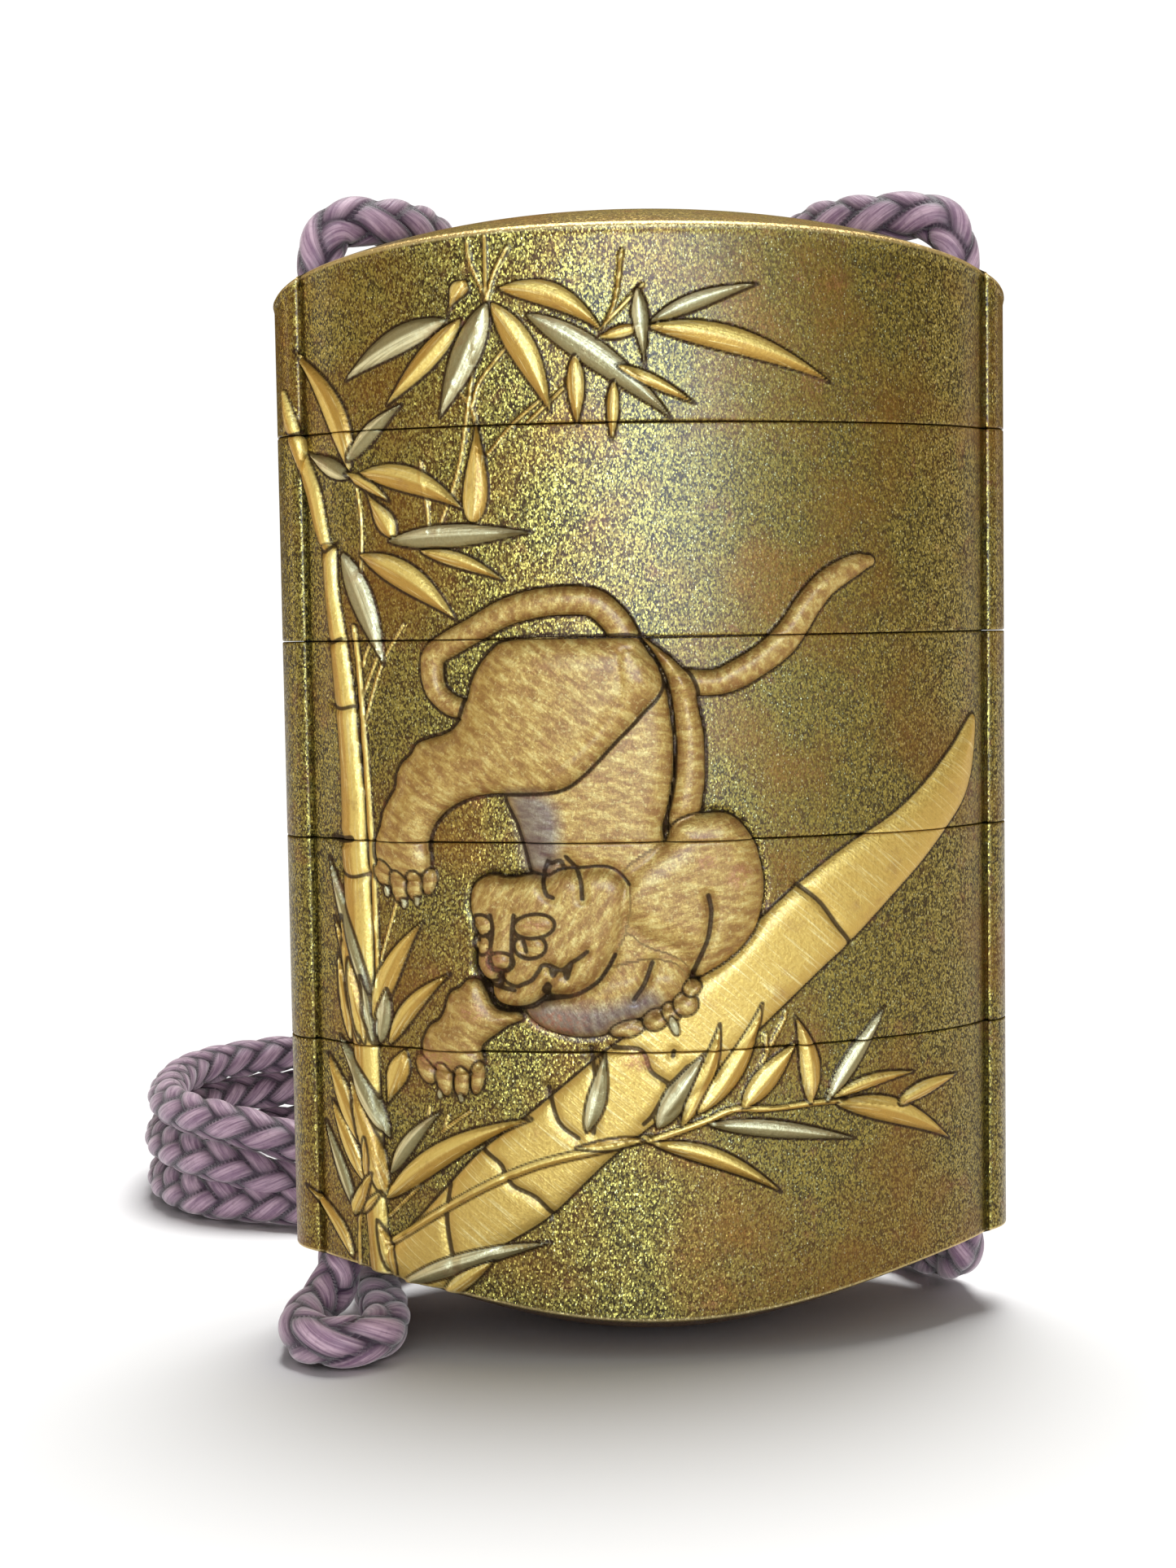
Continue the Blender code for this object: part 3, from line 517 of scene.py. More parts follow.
def panel_depth(x):
    share = np.minimum(np.abs(x) / PANEL_REACH, 1.0)
    return PANEL_HALF_DEPTH * (1 - share**PANEL_POWER) ** (1 / PANEL_POWER)


def quarter_outline():
    """From the middle of the back panel to the right-hand end."""
    x = GROOVE_X * np.sin(np.linspace(0, math.pi / 2, 160))
    angle = np.radians(np.linspace(COLUMN_START, 0, 60))
    column_x = HALF_WIDTH - COLUMN_HALF_WIDTH * (1 - np.cos(angle))
    column = np.column_stack([column_x, COLUMN_HALF_DEPTH * np.sin(angle)])
    return np.vstack([np.column_stack([x, panel_depth(x)]), [GROOVE_BOTTOM], column])


def case_outline():
    """The closed outline, from the right-hand end over the back and round by the front."""
    quarter = quarter_outline()
    back = np.vstack([quarter[::-1], quarter[1:] * (-1, 1)])
    front = back[::-1] * (1, -1)
    return np.vstack([evenly(back, BACK_FINE), evenly(front, FINE)])


def outward(points):
    """The outward normal at each point of a closed outline."""
    along = np.roll(points, -1, axis=0) - np.roll(points, 1, axis=0)
    along /= np.hypot(*along.T)[:, None]
    return np.column_stack([along[:, 1], -along[:, 0]])


OUTLINE = case_outline()
NORMALS = outward(OUTLINE)
IS_FRONT = OUTLINE[:, 1] < 0
print("columns round the case:", len(OUTLINE), "of which in front:", int(IS_FRONT.sum()))

# %% [markdown]
# The lid is crowned and so is the underside, where the middle is cut to a flat spot that the case
# stands on. Both are formulas of the place on the oval. The seams sit at the same heights as in
# the CAD model, and the hair-thin gap between two cases is what the eye sees as a seam.

# %% Heights
BOTTOM_RIM = 2.9
SEAMS = (23.4, 39.1, 54.2, 69.9)
TOP_RIM = 84.3
SEAM_GAP = 0.07
TOP_CROWN = 2.7
TOP_FALL = (4.73, 1.01)
CORNER_ROUNDING = 0.9
BOTTOM_CROWN = 3.1
BOTTOM_RISE = (11.6, -4.75)
LID_TOP_WALL = 2.0
FLOOR_WALL = 1.6
BASE_WALL = 2.2
RISER_HEIGHT = 3.2
FIT_GAP = 0.3
CHANNEL_X = 24.9
CHANNEL_RADIUS = 2.25
SOCKET_HALF = (21.55, 11.95)
RISER_HALF = (21.25, 11.65)
ROOM_HALF = (20.35, 10.75)
INSIDE_POWER = 2.2


def top_crown(x, y):
    u = np.abs(x) / HALF_WIDTH
    fall = TOP_FALL[0] * u**2 + TOP_FALL[1] * u**4 + CORNER_ROUNDING * u**30
    return TOP_RIM + TOP_CROWN - fall - TOP_CROWN * (y / PANEL_HALF_DEPTH) ** 2


def bottom_crown(x, y):
    u = np.abs(x) / HALF_WIDTH
    rise = BOTTOM_RISE[0] * u**2 + BOTTOM_RISE[1] * u**4
    return np.maximum(0.0, BOTTOM_RIM - BOTTOM_CROWN + rise + BOTTOM_CROWN * (y / PANEL_HALF_DEPTH) ** 2)


print("height of the case:", round(float(top_crown(0, 0)), 2), "mm")

# %% [markdown]
# The picture is raised lacquer: each leaf, stem and limb is built up in layers and rounded off.
# It is worked out as one height over the front, the way a plaster relief is planned on paper.
# Each form is laid over the ones before it, and tells the finish where gold, silver and grey-violet
# painted shade lie, and where the dark lines go, drawn ones and painted shade at the edges. The
# helpers measure how far each point is inside a form.

# %% Distances for the picture
FIGURE_BASE = 0.8


def nearest_on(points, line):
    """For each point: its distance to a line, its signed offset, and where along it is nearest."""
    starts, ends = line[:-1, :2], line[1:, :2]
    runs = ends - starts
    lengths = np.maximum(np.hypot(*runs.T), 1e-9)
    to_point = points[:, None, :] - starts[None]
    share = np.clip((to_point * runs).sum(2) / lengths**2, 0, 1)
    gap = to_point - share[..., None] * runs
    far = np.hypot(gap[..., 0], gap[..., 1])
    best = far.argmin(1)
    row = np.arange(len(points))
    turn = runs[best, 0] * gap[row, best, 1] - runs[best, 1] * gap[row, best, 0]
    place = best + share[row, best]
    along = np.interp(place, np.arange(len(line)), np.r_[0, np.cumsum(lengths)])
    return far[row, best], np.sign(turn) * far[row, best], place, along


def inside_polygon(points, corners):
    """Even-odd test for points inside a closed outline."""
    x, z = points.T
    inside = np.zeros(len(points), bool)
    for (x0, z0), (x1, z1) in zip(corners, np.roll(corners, -1, axis=0)):
        if z0 == z1:
            continue
        crosses = (z0 > z) != (z1 > z)
        inside ^= crosses & (x < (x1 - x0) * (z - z0) / (z1 - z0) + x0)
    return inside


def close_to(points, line, margin):
    """Which points lie in the box round a form, with a margin."""
    low, high = line[:, :2].min(0) - margin, line[:, :2].max(0) + margin
    return np.flatnonzero(((points >= low) & (points <= high)).all(1))


def depth_in(picture, outline, margin):
    """Which points lie near a closed outline, and how far in from it each of them is."""
    near = close_to(picture["points"], outline, margin)
    points = picture["points"][near]
    far = nearest_on(points, np.vstack([outline, outline[:1]]))[0]
    return near, np.where(inside_polygon(points, outline), far, -far)


# %% [markdown]
# Laying a form over the picture works like paint. Inside its edge, it takes its own metal away
# from the other metals. Its height rises from the edge in a quarter round, and a dark line is
# laid just outside the edge, partly a drawn outline and partly painted shade at the foot of the
# raised form. A form that melts into its neighbour, such as a neck into a shoulder, holds all of
# the old height and takes only what is higher.

# %% Laying forms over the picture
METALS = ("gold", "silver", "violet", "fur")
GOLD, SILVER, VIOLET_PAINTED_SHADE, FUR = METALS
FAR = 3.0
MARGIN = 0.6
EDGE_BLUR = 0.12
LEAF_RISE = 0.45
LEAF_ROUNDING = 0.2
LEAF_OUTLINE_AND_EDGE_SHADE = 0.075
RIDGE_RISE = 0.2
STEM_OUTLINE_AND_EDGE_SHADE = 0.05


def new_picture(points):
    picture = {name: np.full(len(points), -FAR) for name in METALS}
    picture["line"] = np.full(len(points), FAR)
    picture["worn"] = np.zeros(len(points))
    picture["height"] = np.zeros(len(points))
    picture["grain"] = np.zeros((len(points), 3))
    picture["points"] = points
    return picture


def ease(value):
    value = np.clip(value, 0, 1)
    return value * value * (3 - 2 * value)


def lay(picture, near, inside, rise, edge, metal, grain, line_width, hold):
    """Lays one form over the picture. inside is the distance in from its edge, in mm."""
    cover = ease(inside / EDGE_BLUR + 0.4)
    for name in METALS:
        old = picture[name][near]
        picture[name][near] = np.maximum(old, inside) if name == metal else np.minimum(old, -inside)
    rounded = np.sqrt(1 - (1 - np.clip(inside / edge, 0, 1)) ** 2)
    old = picture["height"][near]
    if hold < 1:
        picture["height"][near] = old * (1 - cover * (1 - hold)) + rise * rounded
    else:
        picture["height"][near] = np.maximum(old, rise * rounded)
    old = picture["line"][near]
    erased = np.where(inside > 0, np.maximum(old, inside), old)
    # The dark band just outside the edge is partly a drawn outline and partly painted shade at the foot of
    # the form.
    if line_width:
        erased = np.minimum(erased, np.abs(inside + line_width) - line_width)
    picture["line"][near] = erased
    change = inside > -0.02
    picture["grain"][near[change]] = grain[change]


def lay_leaf(picture, x, z, tip_x, tip_z, width, bend, metal=GOLD, widest=0.4):
    """A leaf from its foot to its tip, with a ridge along its middle."""
    foot, tip = np.array([x, z]), np.array([tip_x, tip_z])
    length = np.hypot(*(tip - foot))
    along = (tip - foot) / length
    across = np.array([-along[1], along[0]])
    near = close_to(picture["points"], np.array([foot, tip]), width + abs(bend) + MARGIN)
    local = picture["points"][near] - foot
    t = local @ along / length
    held = np.clip(t, 0, 1)
    offset = local @ across - bend * 4 * held * (1 - held)
    half = width / 2 * np.sin(math.pi * held ** (math.log(0.5) / math.log(widest)))
    inside = (half - np.abs(offset)) * 0.92
    beyond = np.maximum(np.maximum(-t, t - 1) * length, 0)
    inside = np.where(beyond > 0, -np.hypot(beyond, offset), inside)
    share = np.clip(offset / np.maximum(half, 0.05), -1, 1)
    grain = np.column_stack([offset, t * length, share])
    rise = 0.7 * LEAF_RISE * min(1, width / 1.3)
    lay(picture, near, inside, rise, LEAF_ROUNDING * width, metal, grain, LEAF_OUTLINE_AND_EDGE_SHADE, 0.75)
    ridge = (1 - np.abs(share)) * ease(inside / 0.2)
    picture["height"][near] += RIDGE_RISE * min(1, width / 1.5) * ridge


def lay_ribbon(picture, spine, rise, metal=GOLD, edge=0.8, line_width=STEM_OUTLINE_AND_EDGE_SHADE, hold=0.45):
    """A stem or tail: rows of x, z and width along it."""
    line = smooth_line(spine)
    near = close_to(picture["points"], line, line[:, 2].max() + MARGIN)
    far, offset, place, along = nearest_on(picture["points"][near], line)
    half = np.interp(place, np.arange(len(line)), line[:, 2]) / 2
    share = np.clip(offset / half, -1, 1)
    grain = np.column_stack([offset, along, share])
    lay(picture, near, half - far, rise, edge * line[:, 2].mean() / 2, metal, grain, line_width, hold)


def lay_shape(picture, corners, rise, edge, metal=GOLD, turn=0.0, line_width=0.07, hold=0.3):
    """A limb or other closed outline. turn is the angle of its grain, in degrees from upright."""
    outline = smooth_line(corners, closed=True)
    near, inside = depth_in(picture, outline, MARGIN)
    angle = math.radians(turn)
    x, z = (picture["points"][near] - outline.mean(0)).T
    across, up = x * math.cos(angle) - z * math.sin(angle), x * math.sin(angle) + z * math.cos(angle)
    lay(picture, near, inside, rise, edge, metal, np.column_stack([across, up, 0 * x]), line_width, hold)


def lay_oval(picture, x, z, half_width, half_height, turn, rise, metal, line_width=0.06):
    angle = np.linspace(0, math.tau, 12, endpoint=False)
    lean = math.radians(turn)
    across, up = half_width * np.cos(angle), half_height * np.sin(angle)
    corners = np.column_stack([
        x + across * math.cos(lean) - up * math.sin(lean),
        z + across * math.sin(lean) + up * math.cos(lean),
    ])
    lay_shape(picture, corners, rise, min(half_width, half_height), metal, turn, line_width, 0.85)


def paint_violet_shade(picture, corners):
    """A soft patch of grey-violet painted shade in a form that is there already."""
    near, inside = depth_in(picture, smooth_line(corners, closed=True), 1.0)
    picture[VIOLET_PAINTED_SHADE][near] = np.maximum(picture[VIOLET_PAINTED_SHADE][near], inside)


def draw_line(picture, points, width, depth):
    """A dark drawn line, cut a little into what it crosses."""
    line = smooth_line(points)
    near = close_to(picture["points"], line, 0.5)
    far = nearest_on(picture["points"][near], line)[0]
    picture["line"][near] = np.minimum(picture["line"][near], far - width / 2)
    picture["height"][near] -= depth * np.exp(-(far / (width + 0.08)) ** 2)


print("forms are laid in", len(METALS), "finishes:", ", ".join(METALS))

# %% [markdown]
# Bamboo first, because the tiger climbs in front of it. A leaf is a row of numbers: the place of
# its foot and of its tip, its width, how far it bends, its metal where that isn't gold, and where
# along it is widest. The places are in millimetres across and up the front, read against the seams.

# %% Bamboo
TOP_LEAVES = (
    (-15.3, 76.9, -22.9, 72.9, 1.9, -0.5, SILVER), (-14.2, 76.9, -19.8, 70.9, 1.6, 0),
    (-12.3, 78, -15.9, 69.8, 2.1, 0, SILVER), (-12, 78, -7.8, 69.9, 2, 0.4),
    (-15.2, 77.1, -13.8, 79.7, 1.3, 0.2, GOLD, 0.75), (-11.4, 79, -3.9, 75.6, 1.8, 1),
    (-9.5, 77.1, 1, 69.3, 2, 0.5, SILVER), (-6, 74, -5.9, 68.9, 1.3, 0), (-3.2, 72.1, -3.4, 67.7, 0.9, 0),
    (-3, 73.2, 2.7, 70.4, 0.9, 0.1), (-0.5, 76.3, 7.5, 79.1, 1.2, 0.3, SILVER),
    (-0.7, 76, 13, 72, 1.9, 0.8), (-1.2, 76, -4.4, 75.2, 0.9, 0),
    (-0.9, 72.9, -1.4, 78.9, 1.2, 0, SILVER, 0.65),
)
SIDE_LEAVES = (
    (-22.7, 66.2, -26.9, 75.6, 1.6, -0.8), (-22.7, 66.9, -18.7, 70.9, 1.2, 0.3, SILVER),
    (-22.8, 65.6, -25.8, 67.7, 1.3, 0, SILVER), (-22.9, 66, -19.8, 63.8, 0.8, 0.1),
    (-21.9, 66, -14.3, 63, 1.9, 0.7), (-21.6, 64.6, -19.4, 60.9, 1.4, 0.1, GOLD, 0.65),
    (-13.6, 62, -13.2, 69.3, 1.8, -0.1, GOLD, 0.28), (-19.9, 60.8, -9.3, 61.2, 1.7, 0.1, SILVER),
    (-17.5, 60, -11.4, 57.7, 1.1, 0.3), (-22, 59.9, -15, 54.9, 2, 0.5),
    (-23.4, 60.1, -20.4, 51.6, 1.7, 0.1, SILVER),
)
LOW_LEAVES = (
    (-21.8, 26.3, -25, 37, 1, 0.2, SILVER), (-22, 24, -24.7, 32.3, 0.9, 0.1),
    (-23.6, 22.8, -24.5, 29.5, 0.8, 0), (-22.7, 22.8, -24, 32.5, 1.1, 0),
    (-22.3, 22.8, -23.3, 29.3, 0.8, 0), (-21.7, 22.8, -22.4, 28, 0.5, 0, SILVER),
    (-21.6, 24.6, -17.9, 32.3, 1.5, 0.6), (-21.3, 22.8, -20.6, 27.1, 1, 0, SILVER),
    (-20.6, 22.8, -15.9, 28.4, 1.3, 0.6), (-20.9, 18.1, -19.4, 22.5, 1.6, 0, GOLD, 0.6),
    (-20.7, 15.6, -24.5, 23.2, 1.3, 0, SILVER), (-22.9, 14.8, -25.4, 21.6, 1.3, 0),
    (-21.1, 11, -23.8, 19.9, 1.5, -0.2), (-22.8, 12, -25.2, 18, 1.1, 0),
    (-23.5, 9.5, -25.8, 16.3, 0.8, 0, SILVER), (-22.5, 12.4, -22.3, 15.6, 0.7, 0),
    (-23.6, 9.2, -21.8, 12.9, 1, 0.2), (-22.9, 9.5, -21.3, 11.5, 0.5, 0),
    (-23.8, 5.8, -27.5, 11, 0.9, -0.5), (-20.7, 12.8, -16.8, 17.9, 1.1, 0.4, SILVER),
    (-21, 10.9, -10, 17.6, 1.8, 1, GOLD, 0.35), (-20.4, 4.6, -21.6, 9.2, 0.9, 0),
    (-20.1, 4.3, -8.8, 8.2, 1.4, 0.5, SILVER), (-17, 3.6, -13, 6.7, 1.2, 0.1),
)
RIGHT_LEAVES = (
    (-6, 16.7, -4.6, 22.6, 1.3, -0.2, SILVER), (-1.9, 16, -6.8, 15.5, 0.8, 0),
    (-0.8, 16.8, 2.7, 22.4, 1.9, 0, SILVER), (1, 16.9, 3.9, 24.6, 1.4, -0.4),
    (2.2, 17.8, 7.1, 26, 1.7, -0.7), (5.6, 18.1, 9.9, 22.9, 1.8, 0), (10.9, 18.1, 9.8, 24.8, 1.6, -0.5),
    (12.2, 18.2, 17, 25, 1.3, 0, SILVER), (12.7, 18.4, 19.5, 19.7, 1, 0.4),
    (13, 17.9, 22.5, 14.1, 1.9, 0.8), (17.9, 17.4, 23.3, 19, 1.2, 0.2),
    (3, 17, 14.5, 15.1, 1.3, 0.2, SILVER), (-1.2, 15.7, 8.6, 11.5, 1.4, 0.7),
)
STALKS = (
    ((-13.7, 82.5), (-13.5, 81), (-12.8, 79.3), (-12.4, 78.1)),
    ((-12.4, 82.8), (-12.4, 80.5), (-12.4, 78.2)), ((-10.8, 81.9), (-11.8, 80), (-12.3, 78.2)),
    ((-2.5, 81.5), (-3, 78), (-3.9, 75.9)), ((-1, 79), (-2.4, 77.6), (-3.8, 76.2)),
    ((-15, 72.4), (-13.6, 70.4), (-13.3, 69), (-13, 67)), ((-11, 74.7), (-12.9, 72.3), (-13.5, 70.5)),
    ((-8.3, 71), (-10.5, 69.2), (-12.4, 67)), ((-6.9, 71.6), (-8.2, 70.4), (-9.5, 69.2)),
    ((-12.9, 76.8), (-13.6, 72), (-14.6, 66), (-16.2, 61.5)), ((-22.3, 65.6), (-21.9, 62), (-22.1, 58)),
    ((-17.4, 66.6), (-17, 63.4), (-16.9, 61.4)), ((-23.3, 4.6), (-23.2, 9), (-22.3, 10.6)),
    ((-22.6, 5.5), (-21.6, 9), (-20.7, 12)), ((-20.9, 9.5), (-19.7, 10.8), (-18.6, 12)),
    ((-17.7, 18.2), (-17.8, 17.2), (-17.8, 16.2)), ((-16.3, 17.6), (-16.5, 17), (-16.6, 16.4)),
    ((-14.6, 18), (-15.7, 17.2), (-16.8, 16.3)), ((-19.7, 34.2), (-21.2, 29), (-21.6, 26)),
    ((-21.6, 32.5), (-21.4, 31.2), (-21.3, 30)), ((-21.3, 53.4), (-21.8, 52.4), (-22, 51.5)),
    ((-20.6, 53), (-21.4, 51), (-22, 49.4)), ((-18.9, 54.6), (-20.6, 51.6), (-21.9, 47.5)),
    ((7, 21), (7.8, 22.5), (8.9, 24.5), (9.1, 25.2)), ((7.5, 23.6), (7.5, 22.9), (7.6, 22.2)),
)
CULM_TOP = (
    (-27.7, 72.5, 0.25), (-27.2, 70, 1), (-26.5, 67.5, 1.1), (-25.6, 65, 1.1), (-25.1, 62.5, 1),
    (-24.7, 60.7, 0.8),
)
CULM = (
    (-24.4, 60.2, 1.1), (-24.3, 57, 1.05), (-24, 54.5, 1.2), (-23.5, 49.5, 1.5), (-23.2, 45, 1.55),
    (-23, 41, 1.8), (-23, 38, 1.9), (-22.8, 34, 2), (-22.5, 24, 1.9), (-21.9, 10, 1.6), (-21.6, 4.2, 1.4),
)
SIDE_STEM = (
    (-22.7, 54.5, 0.35), (-22.4, 52, 0.4), (-22.1, 47, 0.42), (-21.8, 41, 0.45), (-21.5, 33, 0.4),
    (-21.4, 26, 0.3),
)
CULM_NODES = (
    ((-27.7, 69.4), (-27.2, 69.1), (-26.5, 69.3)), ((-25.1, 60.4), (-24.5, 60.2), (-23.9, 60.9)),
    ((-24.8, 53.5), (-24.2, 53.3), (-23.5, 53.6)), ((-24.4, 48.6), (-23.6, 48.3), (-22.7, 48.5)),
    ((-24, 35.9), (-23, 35.5), (-21.8, 35.8)),
)
BIG_CULM = (
    (25, 47), (23, 44.6), (21, 42.4), (19, 40.6), (17, 39.2), (14.5, 37.8), (11.5, 35.8), (8, 33),
    (4, 29.2), (0, 26), (-5, 22.3), (-8, 19.8), (-11, 17.3), (-14, 14.9), (-17, 11.5), (-20.6, 7.2),
    (-20.9, 5.6), (-18.6, 3.6), (-15, 5.8), (-12.5, 7.8), (-9, 10.1), (-6, 13), (-3.5, 15.3), (2, 19.5),
    (5, 22.2), (8, 24.9), (12, 28.4), (14.2, 30.2), (18, 33.8), (20, 35.7), (22, 37.9), (24, 40.5),
    (24.9, 43.4),
)
BIG_CULM_LINES = (
    ((10.1, 34.7), (11.7, 33.3), (13, 31.5), (14.1, 30.2)),
    ((-3.9, 23), (-1.9, 22.8), (-1.2, 21.2), (0.1, 20.1), (-0.5, 19), (-1.2, 17.8), (-1.8, 17.2)),
    ((0.1, 20.1), (1.5, 21.5)), ((0.4, 22.3), (0.5, 22.7)),
    ((-13.7, 15.2), (-12.4, 14.2), (-12, 13.4), (-11.4, 12.5), (-9.8, 11.7), (-8.6, 10.4)),
    ((-16.2, 12.3), (-16.4, 9.6), (-15.9, 6)), ((-8.8, 20), (-8, 17.4), (-6.6, 16.2)),
    ((-5.6, 23), (-5.2, 19.4), (-5.5, 16.6)),
)
TWIG = ((-20.8, 7.5, 0.5), (-16, 10.9, 0.55), (-12, 13.2, 0.6), (-8, 14.7, 0.6), (-1.3, 16.1, 0.55))
SPRAY = (
    (-1.3, 15.9, 0.5), (2.8, 17.2, 0.5), (5, 18, 0.5), (8, 17.9, 0.45), (13, 18.1, 0.4),
    (18.2, 17.2, 0.3),
)
CHIP = ((-24.7, 38.5), (-24, 38.3), (-23.1, 38.4))
CULM_ANGLE = -49.0
STALK_WIDTH = 0.26


def lay_bamboo(picture):
    for row in STALKS:
        lay_ribbon(picture, [(x, z, STALK_WIDTH) for x, z in row], 0.16, line_width=0.02)
    lay_ribbon(picture, SIDE_STEM, 0.2)
    lay_ribbon(picture, CULM_TOP, 0.5, edge=1.0)
    lay_ribbon(picture, CULM, 0.55, edge=1.0)
    for row in CULM_NODES:
        draw_line(picture, row, 0.24, 0.16)
    lay_shape(picture, BIG_CULM, 0.6, 1.5, GOLD, CULM_ANGLE, 0.09)
    for row in BIG_CULM_LINES:
        draw_line(picture, row, 0.3, 0.2)
    lay_ribbon(picture, TWIG, 0.25, hold=0.95)
    for row in (*TOP_LEAVES, *SIDE_LEAVES, *LOW_LEAVES):
        lay_leaf(picture, *row)
    draw_line(picture, CHIP, 0.5, 0.25)


def lay_right_spray(picture):
    lay_ribbon(picture, SPRAY, 0.25, hold=0.95)
    for row in RIGHT_LEAVES:
        lay_leaf(picture, *row)


print("leaves on the front:", len(TOP_LEAVES) + len(SIDE_LEAVES) + len(LOW_LEAVES) + len(RIGHT_LEAVES))

# %% [markdown]
# The tiger comes down head first. Its parts are laid from the far ones to the near ones: tail,
# back, belly, haunch, shoulder, legs and last the head, with the face drawn in fine lines over a
# few small ovals. Soft grey-violet patches on the belly and the lower chest are painted shade. A
# toe or claw is a row of its middle, its half width, its half height and how far it leans in degrees.

# %% Tiger
TAIL_LOOP = (
    (-2.6, 53.2, 2.2), (-3.4, 54.7, 2.1), (-5, 56, 2.1), (-7.5, 56.15, 2.1), (-9.5, 55.9, 2.1),
    (-11.5, 55.3, 2), (-13.5, 54.2, 1.9), (-15.3, 53.2, 1.9), (-16.6, 52.3, 1.8), (-16.8, 51, 1.7),
    (-16.5, 49.6, 1.6), (-15.5, 48.6, 1.6), (-14.6, 48.3, 1.5),
)
TAIL_END = (
    (1.4, 50, 2), (4, 50, 1.9), (5.5, 50.5, 2.1), (7.3, 51.5, 2.1), (8.9, 52.7, 2.2), (10, 54, 2.1),
    (11, 55.5, 2), (12.3, 57, 1.9), (13.6, 57.9, 1.8), (15, 58.6, 1.5), (15.9, 58.8, 0.9),
)
BACK_BAND = (
    (-1.5, 53.5), (0, 52.4), (1, 51.6), (1.9, 50.6), (2.4, 49.5), (2.7, 48), (3, 46.5), (3.1, 45),
    (3.1, 43), (2.9, 41.5), (2.6, 40.2), (1.4, 39.6), (0.4, 39.4), (0.6, 41.5), (0.9, 43.5), (1, 46),
    (0.7, 49), (0.2, 50.8), (-0.6, 52.3),
)
TORSO = (
    (-3, 52.6), (-0.9, 52), (-0.3, 51), (0.2, 50), (0.5, 48.2), (0.8, 45.5), (0.7, 43), (0.3, 40.8),
    (-0.1, 39.2), (0.5, 37), (2, 34), (3, 31.5), (2.2, 29), (0.6, 26.6), (-3, 25), (-7, 26.5), (-8.6, 31),
    (-9.4, 34.6), (-10, 37.5), (-10.6, 39.6), (-11.4, 42.3), (-8, 43.6), (-5, 46), (-3, 49),
)
BELLY = (
    (-11.2, 42.2), (-9.2, 42), (-7.9, 41), (-7.6, 39), (-7.8, 36.8), (-8.6, 36), (-10.1, 36.3),
    (-10.6, 38.6), (-11, 40.5),
)
HAUNCH = (
    (-11.5, 53.2), (-9, 53.5), (-5, 53.4), (-2, 53.4), (-1, 52.3), (-0.3, 51.3), (0, 50), (-0.5, 48.9),
    (-1.4, 48), (-2.4, 46.9), (-3.5, 45.8), (-4.7, 44.5), (-5.8, 43.4), (-7, 42.5), (-8.5, 42.1),
    (-11.5, 42), (-13, 41.9), (-14.3, 41.6), (-15.5, 41), (-16.3, 40.3), (-16.9, 39.5), (-17.3, 38.2),
    (-17.2, 36.8), (-17.6, 35.6), (-19, 35.4), (-20.4, 35.8), (-21.2, 36.8), (-21.3, 38.3), (-20.9, 39.5),
    (-20.7, 40.5), (-20.2, 41.5), (-19.7, 42.4), (-19.6, 43.3), (-19.2, 44.2), (-18.5, 44.9), (-18, 45.7),
    (-17, 46.1), (-16, 46.4), (-15.2, 46.9), (-14.5, 48), (-14.2, 49.2), (-13.9, 50.3), (-13.3, 51.5),
    (-12.5, 52.5),
)
CHEST = (
    (-10.6, 26.4), (-10.2, 25.4), (-9, 24.4), (-7, 23.8), (-5, 23.8), (-3.5, 24.5), (-1.5, 25.3),
    (0.3, 26.1), (1.6, 27.4), (1, 29), (-1, 29.6), (-3.5, 29.2), (-6, 28.4), (-8.5, 27.6),
)
CHEST_SHADE = (
    (-10.4, 26.2), (-9.4, 24.8), (-7, 23.9), (-5, 23.9), (-3, 24.8), (-0.4, 26.2), (-1.4, 27.2),
    (-4, 26.3), (-7, 26.2), (-9, 26.6),
)
SHOULDER = (
    (0.1, 38.4), (0.4, 39.3), (1, 39.9), (2, 40.3), (3, 40.4), (4.5, 40.4), (5.5, 39.9), (6.3, 39),
    (6.9, 38), (7.2, 37), (7.5, 35.5), (7.5, 34.3), (7.3, 33), (6.9, 31.8), (6.4, 31), (5.5, 30),
    (4.5, 29.2), (3.5, 28.6), (2.4, 28.1), (1, 29.6), (-2, 31), (-4, 33.5), (-2.8, 36.4),
)
FORELEG = (
    (-14.6, 28), (-13.8, 28), (-13.3, 27.2), (-12.9, 26.3), (-12.4, 25.8), (-11.6, 25.6), (-10.9, 25.6),
    (-10.6, 25.1), (-11.7, 24.6), (-12.5, 24), (-13.3, 23.4), (-13.7, 22.8), (-13.6, 21.4), (-15.6, 20.8),
    (-18, 21.6), (-18.1, 22.7), (-18, 23.4), (-17.5, 24.4), (-16.8, 24.9), (-16.4, 25.6), (-16.2, 26.3),
    (-15.9, 27), (-15.2, 27.4),
)
HEAD = (
    (-14.3, 33.3), (-14.3, 34.4), (-14, 35.2), (-13.3, 35.8), (-12.4, 36), (-11.5, 35.8), (-10.5, 35.9),
    (-9.5, 36.1), (-8.6, 35.9), (-7.5, 36.4), (-5.9, 36.5), (-5, 36.6), (-4, 36.5), (-3.2, 36),
    (-2.6, 35.2), (-2.6, 33.4), (-3, 31.5), (-3.6, 30.2), (-4.3, 28.9), (-5, 28), (-6, 27.3), (-7, 26.9),
    (-8.4, 26.9), (-9.1, 26.5), (-9.7, 26.1), (-10.5, 25.95), (-11.5, 26), (-12.2, 26.2), (-12.7, 26.8),
    (-12.9, 27.6), (-13.3, 28.1), (-13.9, 29.2), (-13.8, 30.5), (-13.8, 31.8), (-14.1, 32.6),
)
HIND_TOES = (
    (-20.7, 35.9, 0.75, 1, 14), (-19.6, 34.9, 0.62, 1.2, 4), (-18.4, 35, 0.6, 1.15, -6),
    (-17.3, 35.3, 0.5, 1, -14),
)
FORE_TOES = (
    (-17.9, 21.1, 0.62, 1.2, 22), (-16.5, 20.4, 0.62, 1.3, 6), (-15.2, 20.2, 0.58, 1.25, -4),
    (-14, 20.6, 0.5, 1.3, -10),
)
